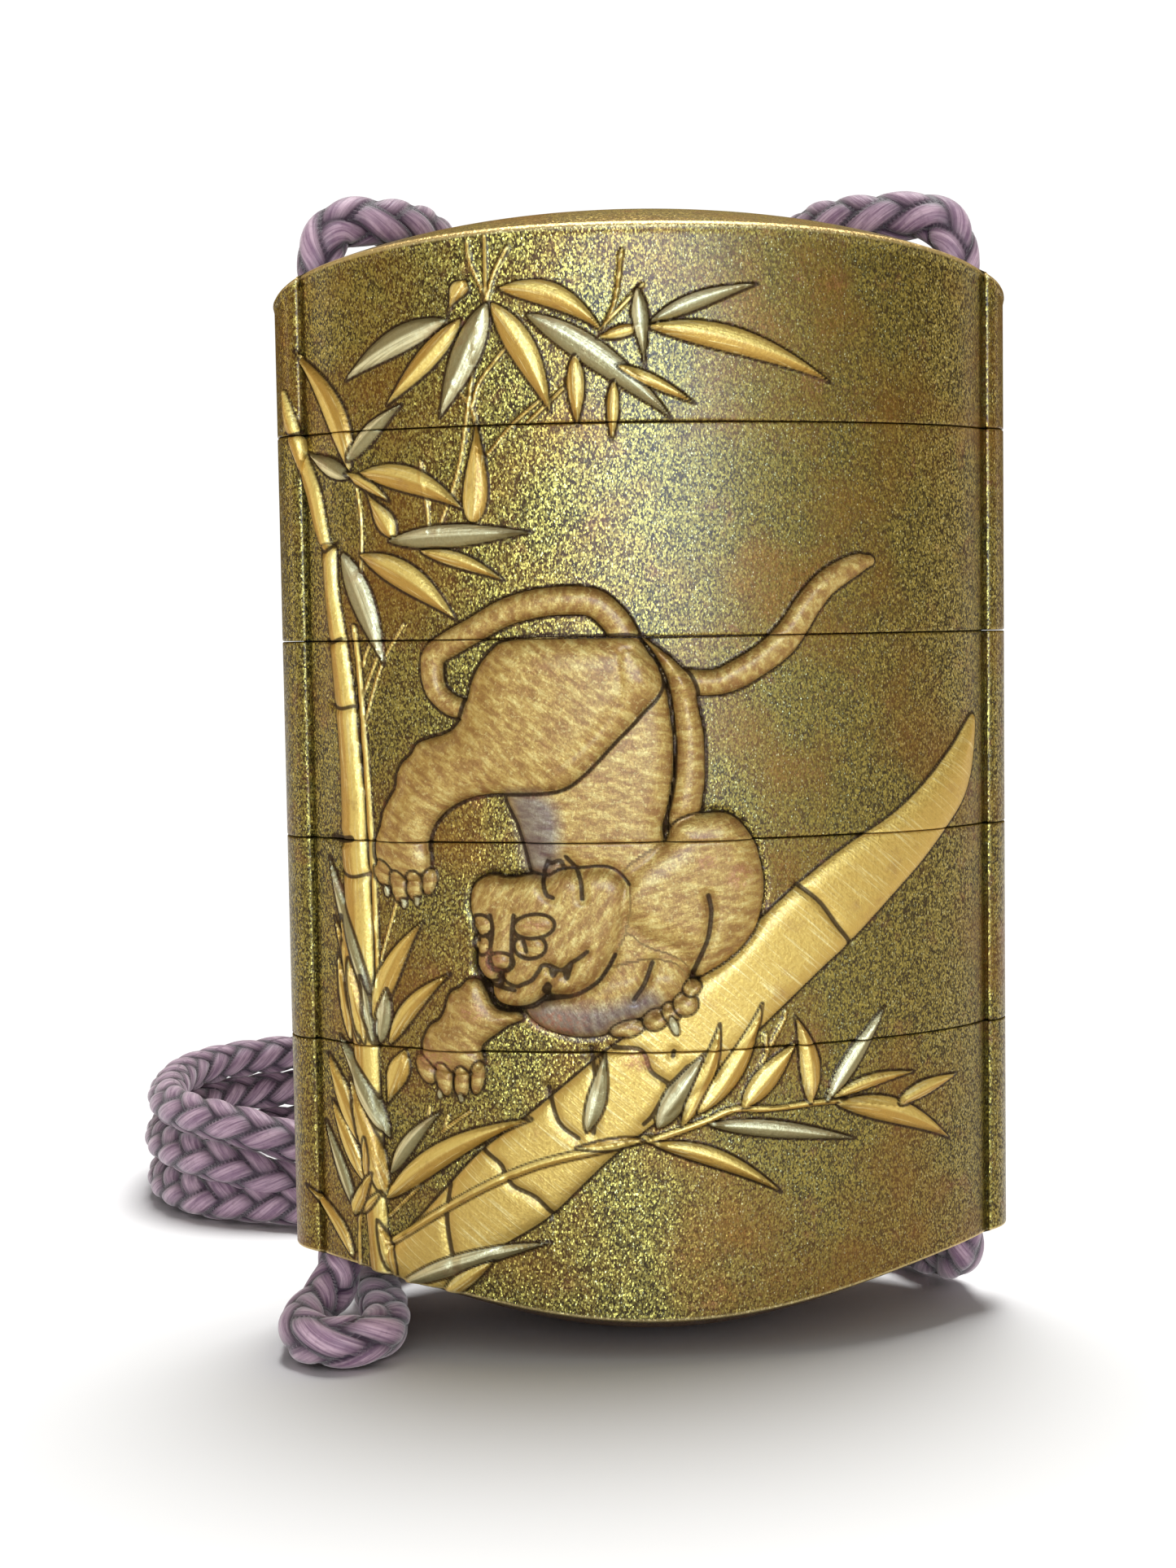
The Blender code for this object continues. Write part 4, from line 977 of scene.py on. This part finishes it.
NEAR_TOES = (
    (-2.9, 24.4, 1.3, 0.6, 14), (-0.8, 25.1, 0.95, 0.75, 25), (0.3, 25.6, 0.6, 0.75, 30),
    (1.4, 26.2, 0.9, 0.85, 20), (1.9, 27.4, 0.7, 0.55, 30),
)
CLAWS = (
    (0.5, 24.6, 0.28, 0.75, 20), (-20.6, 34.5, 0.2, 0.45, 10), (-19.3, 33.6, 0.2, 0.4, 0),
    (-18.3, 33.8, 0.18, 0.4, -8), (-16.9, 19.2, 0.2, 0.35, 0), (-15.3, 19, 0.2, 0.35, 0),
)
FACE_OVALS = (
    (-13.4, 30.8, 0.62, 0.72, 0), (-9.8, 30.7, 1.05, 0.78, 0), (-13.35, 32.2, 0.72, 0.7, -20),
    (-9.5, 32.2, 1.4, 0.78, 8), (-11.95, 29.5, 0.85, 0.62, 0),
)
FACE_LINES = (
    ((-12.65, 33), (-12.5, 31.8), (-12.75, 30), (-12.5, 29.1), (-11.95, 28.75)),
    ((-10.95, 33), (-11.1, 31.6), (-11.15, 30), (-11.3, 29.1), (-11.95, 28.75)),
    ((-13.9, 30), (-13.85, 28.6), (-13.2, 28), (-12.1, 28.1)),
    (
        (-13.1, 27.8), (-12.9, 26.9), (-12.4, 26.3), (-11.1, 25.95), (-9.8, 26.2), (-8.8, 26.9),
        (-8.45, 27.7),
    ),
    ((-13.1, 27.8), (-12, 27.6), (-11, 27.4)), ((-11.95, 28.75), (-11.95, 28)),
    (
        (-12.2, 28.4), (-11, 27.7), (-10.3, 27.9), (-9.7, 28.2), (-9.2, 28.9), (-8.9, 29.3), (-8.3, 29.2),
        (-7.6, 28.9), (-6.8, 29.5), (-6.2, 29.9), (-5.7, 30.3),
    ),
    ((-8.4, 29.2), (-8.2, 28.5), (-7.9, 29)), ((-7.4, 29), (-7.2, 28.3), (-6.9, 29.3)),
    ((-13.8, 31), (-13.6, 31.1)), ((-10.35, 31.2), (-10.2, 30.8), (-10.1, 30.3)),
    ((-8.6, 26.9), (-8.9, 27.4), (-8.6, 27.9)), ((-12, 28.6), (-12.05, 28.1), (-12.1, 27.8)),
    ((-8.5, 37), (-8.85, 35.8), (-8.6, 34.6), (-8.1, 34.3)), ((-8.3, 36.8), (-7.6, 37), (-7.3, 36.4)),
    ((-7.2, 37.3), (-6.5, 36.5), (-6.1, 35.5), (-6, 34.2)),
)
BODY_LINES = (
    ((3.1, 34.3), (3.3, 33.2), (3.2, 32), (3, 31), (2.6, 30), (2.2, 29), (2, 28.3)),
    ((-2.4, 26.6), (-1.6, 27.8), (-1, 29.4)),
)
WORN_SPOTS = (
    (-17, 21.9, 1.5, 0.8), (5.4, 35.6, 1, 0.9), (-12.6, 29.4, 0.9, 1), (-8, 24.9, 2.2, 0.9),
    (-9.4, 32.2, 1, 0.4), (3, 36.8, 0.7, 0.6), (-14.2, 25.6, 1, 0.6), (-2.3, 22, 0.9, 0.7),
)
CHEEK = ((-9, 26.6), (-7.8, 26.8), (-7, 26.9), (-6, 27.3), (-5, 28), (-4.3, 28.9), (-3.7, 30))
HEAD_EDGE = (*HEAD[-14:], *HEAD[:15])
SHOULDER_EDGE = SHOULDER[:19]
CHEST_EDGE = CHEST[:9]


def lay_tiger(picture):
    for row in (TAIL_END, TAIL_LOOP):
        lay_ribbon(picture, row, 0.8, FUR, edge=1.0, line_width=0.09)
    lay_shape(picture, BACK_BAND, 0.8, 1.1, FUR, -4, 0.13)
    lay_shape(picture, TORSO, 0.75, 2.2, FUR, 8, 0.12)
    paint_violet_shade(picture, BELLY)
    lay_shape(picture, HAUNCH, 1.1, 2.6, FUR, 38, 0.12)
    lay_shape(picture, CHEST, 0.8, 1.8, FUR, 60, 0.0, 1)
    paint_violet_shade(picture, CHEST_SHADE)
    draw_line(picture, CHEST_EDGE, 0.12, 0.1)
    lay_shape(picture, SHOULDER, 1.15, 2.4, FUR, -10, 0.0, 1)
    draw_line(picture, SHOULDER_EDGE, 0.16, 0.2)
    for row in BODY_LINES:
        draw_line(picture, row, 0.3, 0.3)
    lay_shape(picture, FORELEG, 0.85, 1.8, FUR, 25, 0.1)
    for row in (*HIND_TOES, *FORE_TOES, *NEAR_TOES):
        lay_oval(picture, *row, rise=0.38, metal=FUR, line_width=0.07)
    lay_shape(picture, HEAD, 1.25, 1.7, FUR, -60, 0.0, 1)
    draw_line(picture, HEAD_EDGE, 0.2, 0.2)
    draw_line(picture, CHEEK, 0.28, 0.25)
    for row in FACE_OVALS:
        lay_oval(picture, *row, rise=0.2, metal=FUR, line_width=0.12)
    for row in FACE_LINES:
        draw_line(picture, row, 0.28, 0.24)
    for row in CLAWS:
        lay_oval(picture, *row, rise=0.2, metal=SILVER)


def rub(picture):
    """Marks the places where the front is rubbed through to the red ground."""
    x, z = picture["points"].T
    for spot_x, spot_z, half_width, half_height in WORN_SPOTS:
        far = np.hypot((x - spot_x) / half_width, (z - spot_z) / half_height)
        picture["worn"] = np.maximum(picture["worn"], 1 - ease(far - 0.5))


def front_picture(x, z):
    """The whole front picture at points of the front."""
    picture = new_picture(np.column_stack([x, z - FIGURE_BASE]))
    lay_bamboo(picture)
    lay_tiger(picture)
    rub(picture)
    lay_right_spray(picture)
    return picture


print("drawn lines in the tiger:", len(BODY_LINES) + len(FACE_LINES))

# %% [markdown]
# The photograph does not show the back. On such a case the picture runs on round it in a plainer
# form, so the back gets one bamboo stem and two sprays in the same gold.

# %% The plainer back
BACK_LEAVES = (
    (9, 52, 17.5, 48.5, 1.8, 0.8), (9, 52, 2, 46, 1.7, -0.5, SILVER), (8.5, 53, 16, 58.5, 1.6, 0.5),
    (8.5, 53.5, 3, 60.5, 1.7, 0.3), (10, 26, 18, 21.5, 1.8, 0.7), (10, 26, 3.5, 19.5, 1.7, -0.4),
    (9.5, 27, 3.5, 33, 1.6, 0.3, SILVER),
)
BACK_CULM = ((12.5, 4, 3.2), (11, 20, 3), (10, 39, 2.8), (9.6, 60, 2.4), (9.8, 74, 1.8))
BACK_NODES = (17.0, 36.0, 55.0)


def back_picture(x, z):
    picture = new_picture(np.column_stack([x, z - FIGURE_BASE]))
    lay_ribbon(picture, BACK_CULM, 0.5)
    for low in BACK_NODES:
        draw_line(picture, ((8.0, low + 0.2), (10.3, low), (12.8, low + 0.2)), 0.1, 0.15)
    for row in BACK_LEAVES:
        lay_leaf(picture, *row)
    return picture


print("leaves on the back:", len(BACK_LEAVES))

# %% [markdown]
# Each case is one closed shell: from the middle of its floor up the inside wall, over the riser
# lip, out along the shoulder, down the outside with the picture on it, and under into the socket
# that fits the riser below. So it starts as one flat grid: its columns run round the case and its
# rows along that path. Then the two sides of the grid are welded, and the ends are closed.

# %% Rings of a shell
SMOOTHINGS = 60
EDGE_ROUNDING = 0.1
SOFT_OUTLINE = OUTLINE
for _ in range(SMOOTHINGS):
    SOFT_OUTLINE = (np.roll(SOFT_OUTLINE, 1, 0) + 2 * SOFT_OUTLINE + np.roll(SOFT_OUTLINE, -1, 0)) / 4
ROUND = np.arctan2(SOFT_OUTLINE[:, 1] * HALF_WIDTH / PANEL_HALF_DEPTH, SOFT_OUTLINE[:, 0])


def oval_ring(half, height, grow=0.0):
    """A ring of the socket, riser or room. height is a number or a function of the place."""
    x, y = (
        (reach + grow) * np.sign(way) * np.abs(way) ** (2 / INSIDE_POWER)
        for reach, way in zip(half, (np.cos(ROUND), np.sin(ROUND)))
    )
    z = height(x, y) if callable(height) else np.full(len(x), float(height))
    return np.column_stack([x, y, z])


def crown_ring(share, height):
    """A ring of the dome or the underside, at a share of the way in from the rim."""
    soft = min(1.0, 8 * share)
    points = (OUTLINE * (1 - soft) + SOFT_OUTLINE * soft) * (1 - share)
    return np.column_stack([points, height(*points.T)])


def rows_between(low, high):
    """Offsets and heights of the outside rows, with small rounded edges at both ends."""
    count = int(np.max(high - low) / FINE)
    inner = np.linspace(0, 1, count)[:, None] * (high - low - 2 * EDGE_ROUNDING) + low + EDGE_ROUNDING
    turn = 0.3 * EDGE_ROUNDING
    first = [(-EDGE_ROUNDING, low), (-turn, low + turn)]
    last = [(-turn, high - turn), (-EDGE_ROUNDING, high)]
    return [*first, *((0.0, row) for row in inner), *last]


def seam_row(height):
    return np.full(len(OUTLINE), float(height))


print("rows of a middle case:", len(rows_between(seam_row(SEAMS[0]), seam_row(SEAMS[1]))))

# %% [markdown]
# The grid's corner points are moved all at once with numpy, since there are about seventy thousand
# of them. The picture's numbers go with them as attributes, which the gold finish reads. Two more
# marks tell it where the dark inside colour goes and where a pale painted highlight runs along a
# rim, counted in rings from the last outside row. TO_END is just more rings than any shell has.

# %% Build a shell
MARKS = (*METALS, "line", "worn", "inside", "rim_highlight")
BEYOND = {"line": FAR, "worn": 0.0, "grain": 0.0}
TO_END = 1000


def picture_of(rows):
    """Heights of the outside rows, and the picture on them, front and back."""
    heights = np.array([height for _, height in rows])
    x = np.broadcast_to(OUTLINE[:, 0], heights.shape)
    whole = {}
    for side, painter in ((IS_FRONT, front_picture), (~IS_FRONT, back_picture)):
        picture = painter(x[:, side].ravel(), heights[:, side].ravel())
        del picture["points"]
        for name, values in picture.items():
            full = whole.setdefault(name, np.zeros((*heights.shape, *values.shape[1:])))
            full[:, side] = values.reshape(len(rows), -1, *values.shape[1:])
    return heights, whole


def build_shell(name, before, rows, after, ends):
    """One closed shell from its inside rings, its outside rows and its last rings."""
    heights, picture = picture_of(rows)
    push = np.array([offset for offset, _ in rows])[:, None] + picture.pop("height")
    outside = np.concatenate([OUTLINE + NORMALS * push[..., None], heights[..., None]], axis=2)
    points = np.concatenate([np.array(before), outside, np.array(after)])
    for key, values in picture.items():
        spread = ((len(before), len(after)), *(((0, 0),) * (values.ndim - 1)))
        picture[key] = np.pad(values, spread, constant_values=BEYOND.get(key, -FAR))
    for key in ("inside", "rim_highlight"):
        picture[key] = np.zeros(points.shape[:2])
    picture["inside"][:len(before)] = 1
    last = len(before) + len(rows)
    for key, start, end in ends:
        picture[key][last + start:last + end] = 1
    for key in MARKS:
        picture[key] = np.clip(picture[key], -1, 1)

    def closed(values):
        return np.concatenate([values, values[:, :1]], axis=1)

    return welded_grid(name, closed(points), {key: closed(values) for key, values in picture.items()}, 1e-8)


print("marks on each point:", ", ".join(MARKS))

# %% [markdown]
# The cord runs inside the two ends of the case, so each case has two round channels. They are
# turned shapes with flared mouths at the top and bottom, cut away with a Boolean.

# %% Channels and pieces
MOUTH_FLARE = 1.1
MOUTH_DEPTH = 3.0
MOUTHS = (5.4, 81.4)
CUTTER_REACH = 8
SHARP_ANGLE = math.radians(50)


def channel_cutter():
    """Both channels as one mesh, each spun from its profile."""
    shape = bmesh.new()
    low, high = MOUTHS
    wide, mouth = CHANNEL_RADIUS + MOUTH_FLARE * 2.2, CHANNEL_RADIUS + MOUTH_FLARE * 0.6
    under, over = low - CUTTER_REACH, high + CUTTER_REACH
    profile = [(0.0, under), (wide, under), (mouth, low), (CHANNEL_RADIUS, low + MOUTH_DEPTH)]
    profile += [(CHANNEL_RADIUS, high - MOUTH_DEPTH), (mouth, high), (wide, over), (0.0, over)]
    for side in (-1, 1):
        verts = [shape.verts.new((x * MM, 0, z * MM)) for x, z in profile]
        edges = [shape.edges.new(pair) for pair in zip(verts, verts[1:])]
        turn = {"cent": (0, 0, 0), "axis": (0, 0, 1), "angle": math.tau, "steps": 48}
        bmesh.ops.spin(shape, geom=verts + edges, use_merge=True, **turn)
        fresh = [vert for vert in shape.verts if not vert.tag]
        bmesh.ops.translate(shape, verts=fresh, vec=(side * CHANNEL_X * MM, 0, 0))
        for vert in shape.verts:
            vert.tag = True
    bmesh.ops.remove_doubles(shape, verts=shape.verts, dist=1e-7)
    bmesh.ops.recalc_face_normals(shape, faces=shape.faces)
    return shape


cutter = mesh_object("channel_cutter", channel_cutter(), plain_material("cut", (0.2, 0.1, 0.05), 0.5))


def finish_case(node, before, rows, after, ends):
    """Builds a shell, cuts its channels and hands it to the frame in place of its CAD solid."""
    name = f"{node}_lacquer"
    piece = mesh_object(name, build_shell(name, before, rows, after, ends), LACQUER)
    cut = piece.modifiers.new("channels", "BOOLEAN")
    cut.operation = "DIFFERENCE"
    cut.solver = "MANIFOLD"
    cut.object = cutter
    made = piece.evaluated_get(bpy.context.evaluated_depsgraph_get())
    mesh = bpy.data.meshes.new_from_object(made)
    piece.modifiers.clear()
    piece.data = mesh
    mesh.materials.clear()
    mesh.materials.append(LACQUER)
    mesh.shade_smooth()
    mesh.set_sharp_from_angle(angle=SHARP_ANGLE)
    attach(piece, "root")
    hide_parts(node)
    print(name, "has", sum(len(face.vertices) - 2 for face in mesh.polygons), "triangles")


print("channel radius:", CHANNEL_RADIUS, "mm")

# %% [markdown]
# The sprinkled ground is a node group, because the outside, the inside and the rubbed places all
# show the same flakes. A flake is one cell of a Voronoi pattern, drawn out upright. Each cell gets
# its own brightness and its own small tilt, so that some flakes catch the light and others stay
# dark, as loose flakes in lacquer do. The brightest cells are also painted pale, a painted glint.

# %% Sprinkled gold
FLAKE_SCALE = (9800, 9800, 5600)
FLAKE_OUTPUTS = ("Flake", "Tone", "Glint", "Tilt")


def sprinkled_gold():
    """Flakes of gold sprinkled on wet lacquer: a mask of bright flakes, a soft tone, a painted glint and a
    tilt.
    """
    group = bpy.data.node_groups.new("sprinkled_gold", "ShaderNodeTree")
    group.interface.new_socket("Vector", in_out="INPUT", socket_type="NodeSocketVector")
    for label in FLAKE_OUTPUTS:
        kind = "NodeSocketVector" if label == "Tilt" else "NodeSocketFloat"
        group.interface.new_socket(label, in_out="OUTPUT", socket_type=kind)
    vector = put(group, "NodeGroupInput").outputs["Vector"]
    drawn = vectors(group, "MULTIPLY", vector, FLAKE_SCALE)
    cells = put(group, "ShaderNodeTexVoronoi", {"Vector": drawn, "Scale": 1.0}).outputs
    parts = put(group, "ShaderNodeSeparateColor", {"Color": cells["Color"]}).outputs
    shade = span(group, parts[0], 0.2, 0.75)
    flake = combine(group, "MULTIPLY", shade, span(group, cells["Distance"], 0.95, 0.5))
    bright = span(group, parts[1], 0.8, 0.95)
    put(group, "NodeGroupOutput", {
        "Flake": flake,
        "Tone": noise_at(group, vector, 95, 4, 0.6),
        "Glint": combine(group, "MULTIPLY", bright, span(group, cells["Distance"], 0.5, 0.2)),
        "Tilt": vectors(group, "SUBTRACT", cells["Color"], (0.5, 0.5, 0.5)),
    })
    return group


FLAKES = sprinkled_gold()
print("group:", FLAKES.name)

# %% [markdown]
# The gold finish is one material for the whole case. It mixes its layers in this order: the
# sprinkled ground with a painted glint on its brightest flakes, raised gold and silver that has
# turned olive, each with a painted lit and shaded half, the tiger's mottled coat, grey-violet
# painted shade, and the dark lines, which are drawn lines and also painted shade just outside each
# raised form. Worn spots follow soft noise. A pale painted highlight along the rims and the dark
# inside colour, also painted shade on the underside, come last.

# %% Gold lacquer
GROUND_DARK = rgb(58, 41, 7)
GROUND_MID = rgb(158, 137, 58)
GROUND_GLINT_PAINTED = rgb(208, 198, 138)
GROUND_WARM = rgb(124, 76, 12)
GOLD_PALE = rgb(228, 206, 136)
GOLD_LIT_SIDE = rgb(212, 178, 90)
GOLD_DEEP_SPECKS_AND_SHADED_SIDE = rgb(176, 134, 54)
SILVER_LIT_SIDE = rgb(212, 196, 144)
SILVER_OLIVE_STREAKS_AND_SHADED_SIDE = rgb(142, 126, 80)
FUR_PALE = rgb(202, 176, 104)
FUR_GOLD = rgb(178, 142, 70)
FUR_DEEP = rgb(148, 106, 50)
VIOLET_SHADE_PALE = rgb(152, 134, 104)
VIOLET_SHADE_DARK = rgb(108, 80, 66)
LINE_AND_EDGE_SHADE_DARK = rgb(48, 30, 16)
RUBBED_BROWN = rgb(132, 76, 44)
WORN_ROSE = rgb(162, 96, 66)
RIM_HIGHLIGHT_GOLD = rgb(204, 176, 112)
INSIDE_DARK_AND_UNDERSIDE_SHADE = rgb(52, 26, 14)
INSIDE_FLAKE = rgb(150, 104, 40)
FIBRE_STRETCH = (6.0, 0.22, 1.0)
WAVE_STRETCH = (0.55, 1.5, 1.0)
EDGE_BAND = (-0.02, 0.03)


def gold_lacquer():
    made = plain_material("gold_lacquer", (0.5, 0.4, 0.2), 0.36)
    tree = made.node_tree
    where = put(tree, "ShaderNodeTexCoord").outputs["Object"]
    flakes = put(tree, "ShaderNodeGroup", {"Vector": where}, node_tree=FLAKES)
    flake, tone, glint, tilt = (flakes.outputs[name] for name in FLAKE_OUTPUTS)
    mark = {name: attribute(tree, name) for name in MARKS}
    grain = attribute(tree, "grain", "Vector")
    half = span(tree, put(tree, "ShaderNodeSeparateXYZ", {0: grain}).outputs[2], -0.12, 0.12)
    fibre = noise_at(tree, vectors(tree, "MULTIPLY", grain, FIBRE_STRETCH), 1.0, 3, 0.55)
    waves = noise_at(tree, vectors(tree, "MULTIPLY", grain, WAVE_STRETCH), 1.0, 4, 0.62)
    speck = noise_at(tree, where, 3000, 3, 0.6)
    rubbed = noise_at(tree, where, 420, 5, 0.65)
    # drawn marks the dark lines: real drawn lines, and painted shade just outside each raised form.
    drawn = span(tree, mark["line"], 0.08, -0.02)
    worn = combine(tree, "MULTIPLY", mark["worn"], span(tree, speck, 0.42, 0.62, 0.05, 0.6))

    # Each leaf and stem has a lighter half and a deeper half across its width: painted light and shade.
    gold = layered(
        tree, blend(tree, half, GOLD_DEEP_SPECKS_AND_SHADED_SIDE, GOLD_LIT_SIDE), (fibre, 0.55, 0.68, 0.7, GOLD_PALE),
        (speck, 0.55, 0.7, 0.35, GOLD_DEEP_SPECKS_AND_SHADED_SIDE),
    )
    silver = layered(
        tree, blend(tree, half, SILVER_OLIVE_STREAKS_AND_SHADED_SIDE, SILVER_LIT_SIDE), (fibre, 0.55, 0.4, 0.6, SILVER_OLIVE_STREAKS_AND_SHADED_SIDE),
    )
    fur = layered(
        tree, FUR_DEEP, (waves, 0.4, 0.56, 1, FUR_GOLD), (waves, 0.54, 0.68, 0.8, FUR_PALE),
        (speck, 0.56, 0.68, 0.6, FUR_PALE), (speck, 0.42, 0.34, 0.6, FUR_DEEP),
    )
    # The grey-violet on the belly and the lower chest is painted shade.
    violet = layered(tree, VIOLET_SHADE_DARK, (waves, 0.35, 0.65, 1, VIOLET_SHADE_PALE))
    # The dark inside colour also covers the underside of the lowest case, as painted shade.
    inside = blend(tree, flake, INSIDE_DARK_AND_UNDERSIDE_SHADE, INSIDE_FLAKE)
    colour = layered(
        # The glint layer paints the brightest flakes pale: a painted glint.
        tree, GROUND_DARK, (flake, 0, 1, 1, GROUND_MID), (glint, 0, 1, 0.8, GROUND_GLINT_PAINTED),
        (tone, 0.46, 0.68, 0.6, GROUND_WARM), (mark[GOLD], *EDGE_BAND, 1, gold),
        (mark[SILVER], *EDGE_BAND, 1, silver), (mark[FUR], *EDGE_BAND, 1, fur),
        (mark[VIOLET_PAINTED_SHADE], -0.6, 0.6, 1, violet), (drawn, 0, 1, 0.9, LINE_AND_EDGE_SHADE_DARK),
        (rubbed, 0.58, 0.72, 0.35, RUBBED_BROWN), (worn, 0, 1, 1, WORN_ROSE),
        # A pale painted highlight along the lid's bead and the lower rim of the base.
        (mark["rim_highlight"], 0, 1, 1, RIM_HIGHLIGHT_GOLD), (mark["inside"], 0, 1, 1, inside),
    )

    figure = mark[GOLD]
    for name in METALS[1:]:
        figure = combine(tree, "MAXIMUM", figure, mark[name])
    figure = span(tree, figure, *EDGE_BAND)
    coat = span(tree, mark[FUR], -0.02, 0.2)
    rough = weighed_sum(tree, (span(tree, flake, 0, 1, 0.5, 0.34), 1), (figure, 0.1), (coat, 0.12))

    lean = {0: tilt, "Scale": span(tree, figure, 0, 1, 0.4, 0.1)}
    lean = put(tree, "ShaderNodeVectorMath", lean, operation="SCALE").outputs[0]
    facing = put(tree, "ShaderNodeNewGeometry").outputs["Normal"]
    flaky = vectors(tree, "NORMALIZE", vectors(tree, "ADD", facing, lean))
    ripple = combine(tree, "MULTIPLY", waves, coat)
    bumps = weighed_sum(tree, (ripple, 0.7), (speck, 0.3), (fibre, 0.15))
    raised = {"Height": bumps, "Distance": 0.22 * MM, "Strength": 0.7, "Normal": flaky}
    feed(tree, tree.nodes["Principled BSDF"], {
        "Base Color": colour,
        "Roughness": rough,
        "Metallic": 0.86,
        "Normal": put(tree, "ShaderNodeBump", raised).outputs[0],
        "Coat Weight": span(tree, drawn, 0, 1, 0.28, 0.04),
        "Coat Roughness": 0.3,
    })
    return made


LACQUER = gold_lacquer()
print("nodes in the gold finish:", len(LACQUER.node_tree.nodes))

# %% [markdown]
# Now the boxes themselves. The three middle cases are alike but for their heights: each has a flat
# floor, a riser lip at the top and a socket below that fits the next riser.

# %% The three middle cases
HALF_GAP = SEAM_GAP / 2
LIP_BEVEL = 0.15


def inside_rings(floor, upper_seam, floor_rings):
    """From the floor up the room's wall and over the riser lip to the shoulder."""
    lip = upper_seam + RISER_HEIGHT
    return [
        *floor_rings,
        oval_ring(ROOM_HALF, floor, -0.5),
        oval_ring(ROOM_HALF, lambda x, y: (floor(x, y) if callable(floor) else floor + 0 * x) + 0.5),
        oval_ring(ROOM_HALF, lip - LIP_BEVEL), oval_ring(ROOM_HALF, lip, LIP_BEVEL),
        oval_ring(RISER_HALF, lip, -LIP_BEVEL), oval_ring(RISER_HALF, lip - LIP_BEVEL),
        oval_ring(RISER_HALF, upper_seam - HALF_GAP),
    ]


def socket_rings(lower_seam):
    """From the lower edge into the socket that the riser below fits."""
    edge, top = lower_seam + HALF_GAP, lower_seam + RISER_HEIGHT + FIT_GAP
    return [
        oval_ring(SOCKET_HALF, edge, 0.1), oval_ring(SOCKET_HALF, edge + 0.1),
        oval_ring(SOCKET_HALF, top), oval_ring(SOCKET_HALF, top, -1.0),
    ]


for number, lower, upper in zip((3, 2, 1), SEAMS, SEAMS[1:]):
    rows = rows_between(seam_row(lower + HALF_GAP), seam_row(upper - HALF_GAP))
    case_inside = inside_rings(lower + RISER_HEIGHT + FIT_GAP + FLOOR_WALL, upper, [])
    finish_case(f"case_{number}", case_inside, rows[::-1], socket_rings(lower), [("inside", 0, TO_END)])

# %% [markdown]
# The lid has no riser. Its ceiling follows the dome at the wall's thickness, its lower edge has the
# same socket as a case, and a fine bead in a few small steps runs round the rim of the dome. Its
# last steps are painted pale gold as a painted highlight.

# %% The lid
BEAD = ((0.06, 0.6), (0.1, 0.4), (0.08, 0.2), (0, 0.06), (-0.12, 0))
CEILING_SHARES = (0.06, 0.2, 0.35, 0.5, 0.65, 0.8, 0.92)
DOME_SHARES = 0.015 + 0.96 * np.linspace(0, 1, 28) ** 1.3
rim = top_crown(*OUTLINE.T)
lid_rows = rows_between(seam_row(SEAMS[3] + HALF_GAP), rim - 0.75)[:-2]
lid_rows += [(offset, rim - drop) for offset, drop in BEAD]


def below_dome(x, y):
    return top_crown(x, y) - LID_TOP_WALL


lid_inside = [
    *(oval_ring(np.multiply(ROOM_HALF, share), below_dome) for share in CEILING_SHARES),
    oval_ring(ROOM_HALF, lambda x, y: below_dome(x, y) - 0.5),
    oval_ring(ROOM_HALF, SEAMS[3] + RISER_HEIGHT + FIT_GAP),
    *socket_rings(SEAMS[3])[2::-1],
]
dome = [crown_ring(share, top_crown) for share in DOME_SHARES]
finish_case("lid", lid_inside, lid_rows, dome, [("rim_highlight", -3, 1)])

# %% [markdown]
# The lowest case has a floor that follows the crowned underside. Its last rings close the underside
# over the flat spot on which the whole stack stands. The underside takes the dark inside colour as
# painted shade, and its lower rim a pale painted highlight.

# %% The lowest case
FLOOR_SHARES = (0.15, 0.35, 0.55, 0.75, 0.9)
UNDERSIDE_SHARES = 0.02 + 0.83 * np.linspace(0, 1, 20) ** 1.2


def above_base(x, y):
    return bottom_crown(x, y) + BASE_WALL


base_rows = rows_between(bottom_crown(*OUTLINE.T), seam_row(SEAMS[0] - HALF_GAP))
base_floor = [oval_ring(np.multiply(ROOM_HALF, share), above_base) for share in FLOOR_SHARES]
base_inside = inside_rings(above_base, SEAMS[0], base_floor)
underside = [crown_ring(share, bottom_crown) for share in UNDERSIDE_SHARES]
finish_case("case_4", base_inside, base_rows[::-1], underside, [("inside", 1, TO_END), ("rim_highlight", -3, 0)])
bpy.data.objects.remove(cutter)

# %% [markdown]
# Last, the object's pieces join the collections that the lamps light.

# %% Finish
for thing in bpy.data.objects:
    if thing.type == "MESH" and thing is not floor:
        LIT["lit_by_lamps"].objects.link(thing)
        LIT["lacquer_pieces" if "lacquer" in thing.name else "silk_pieces"].objects.link(thing)
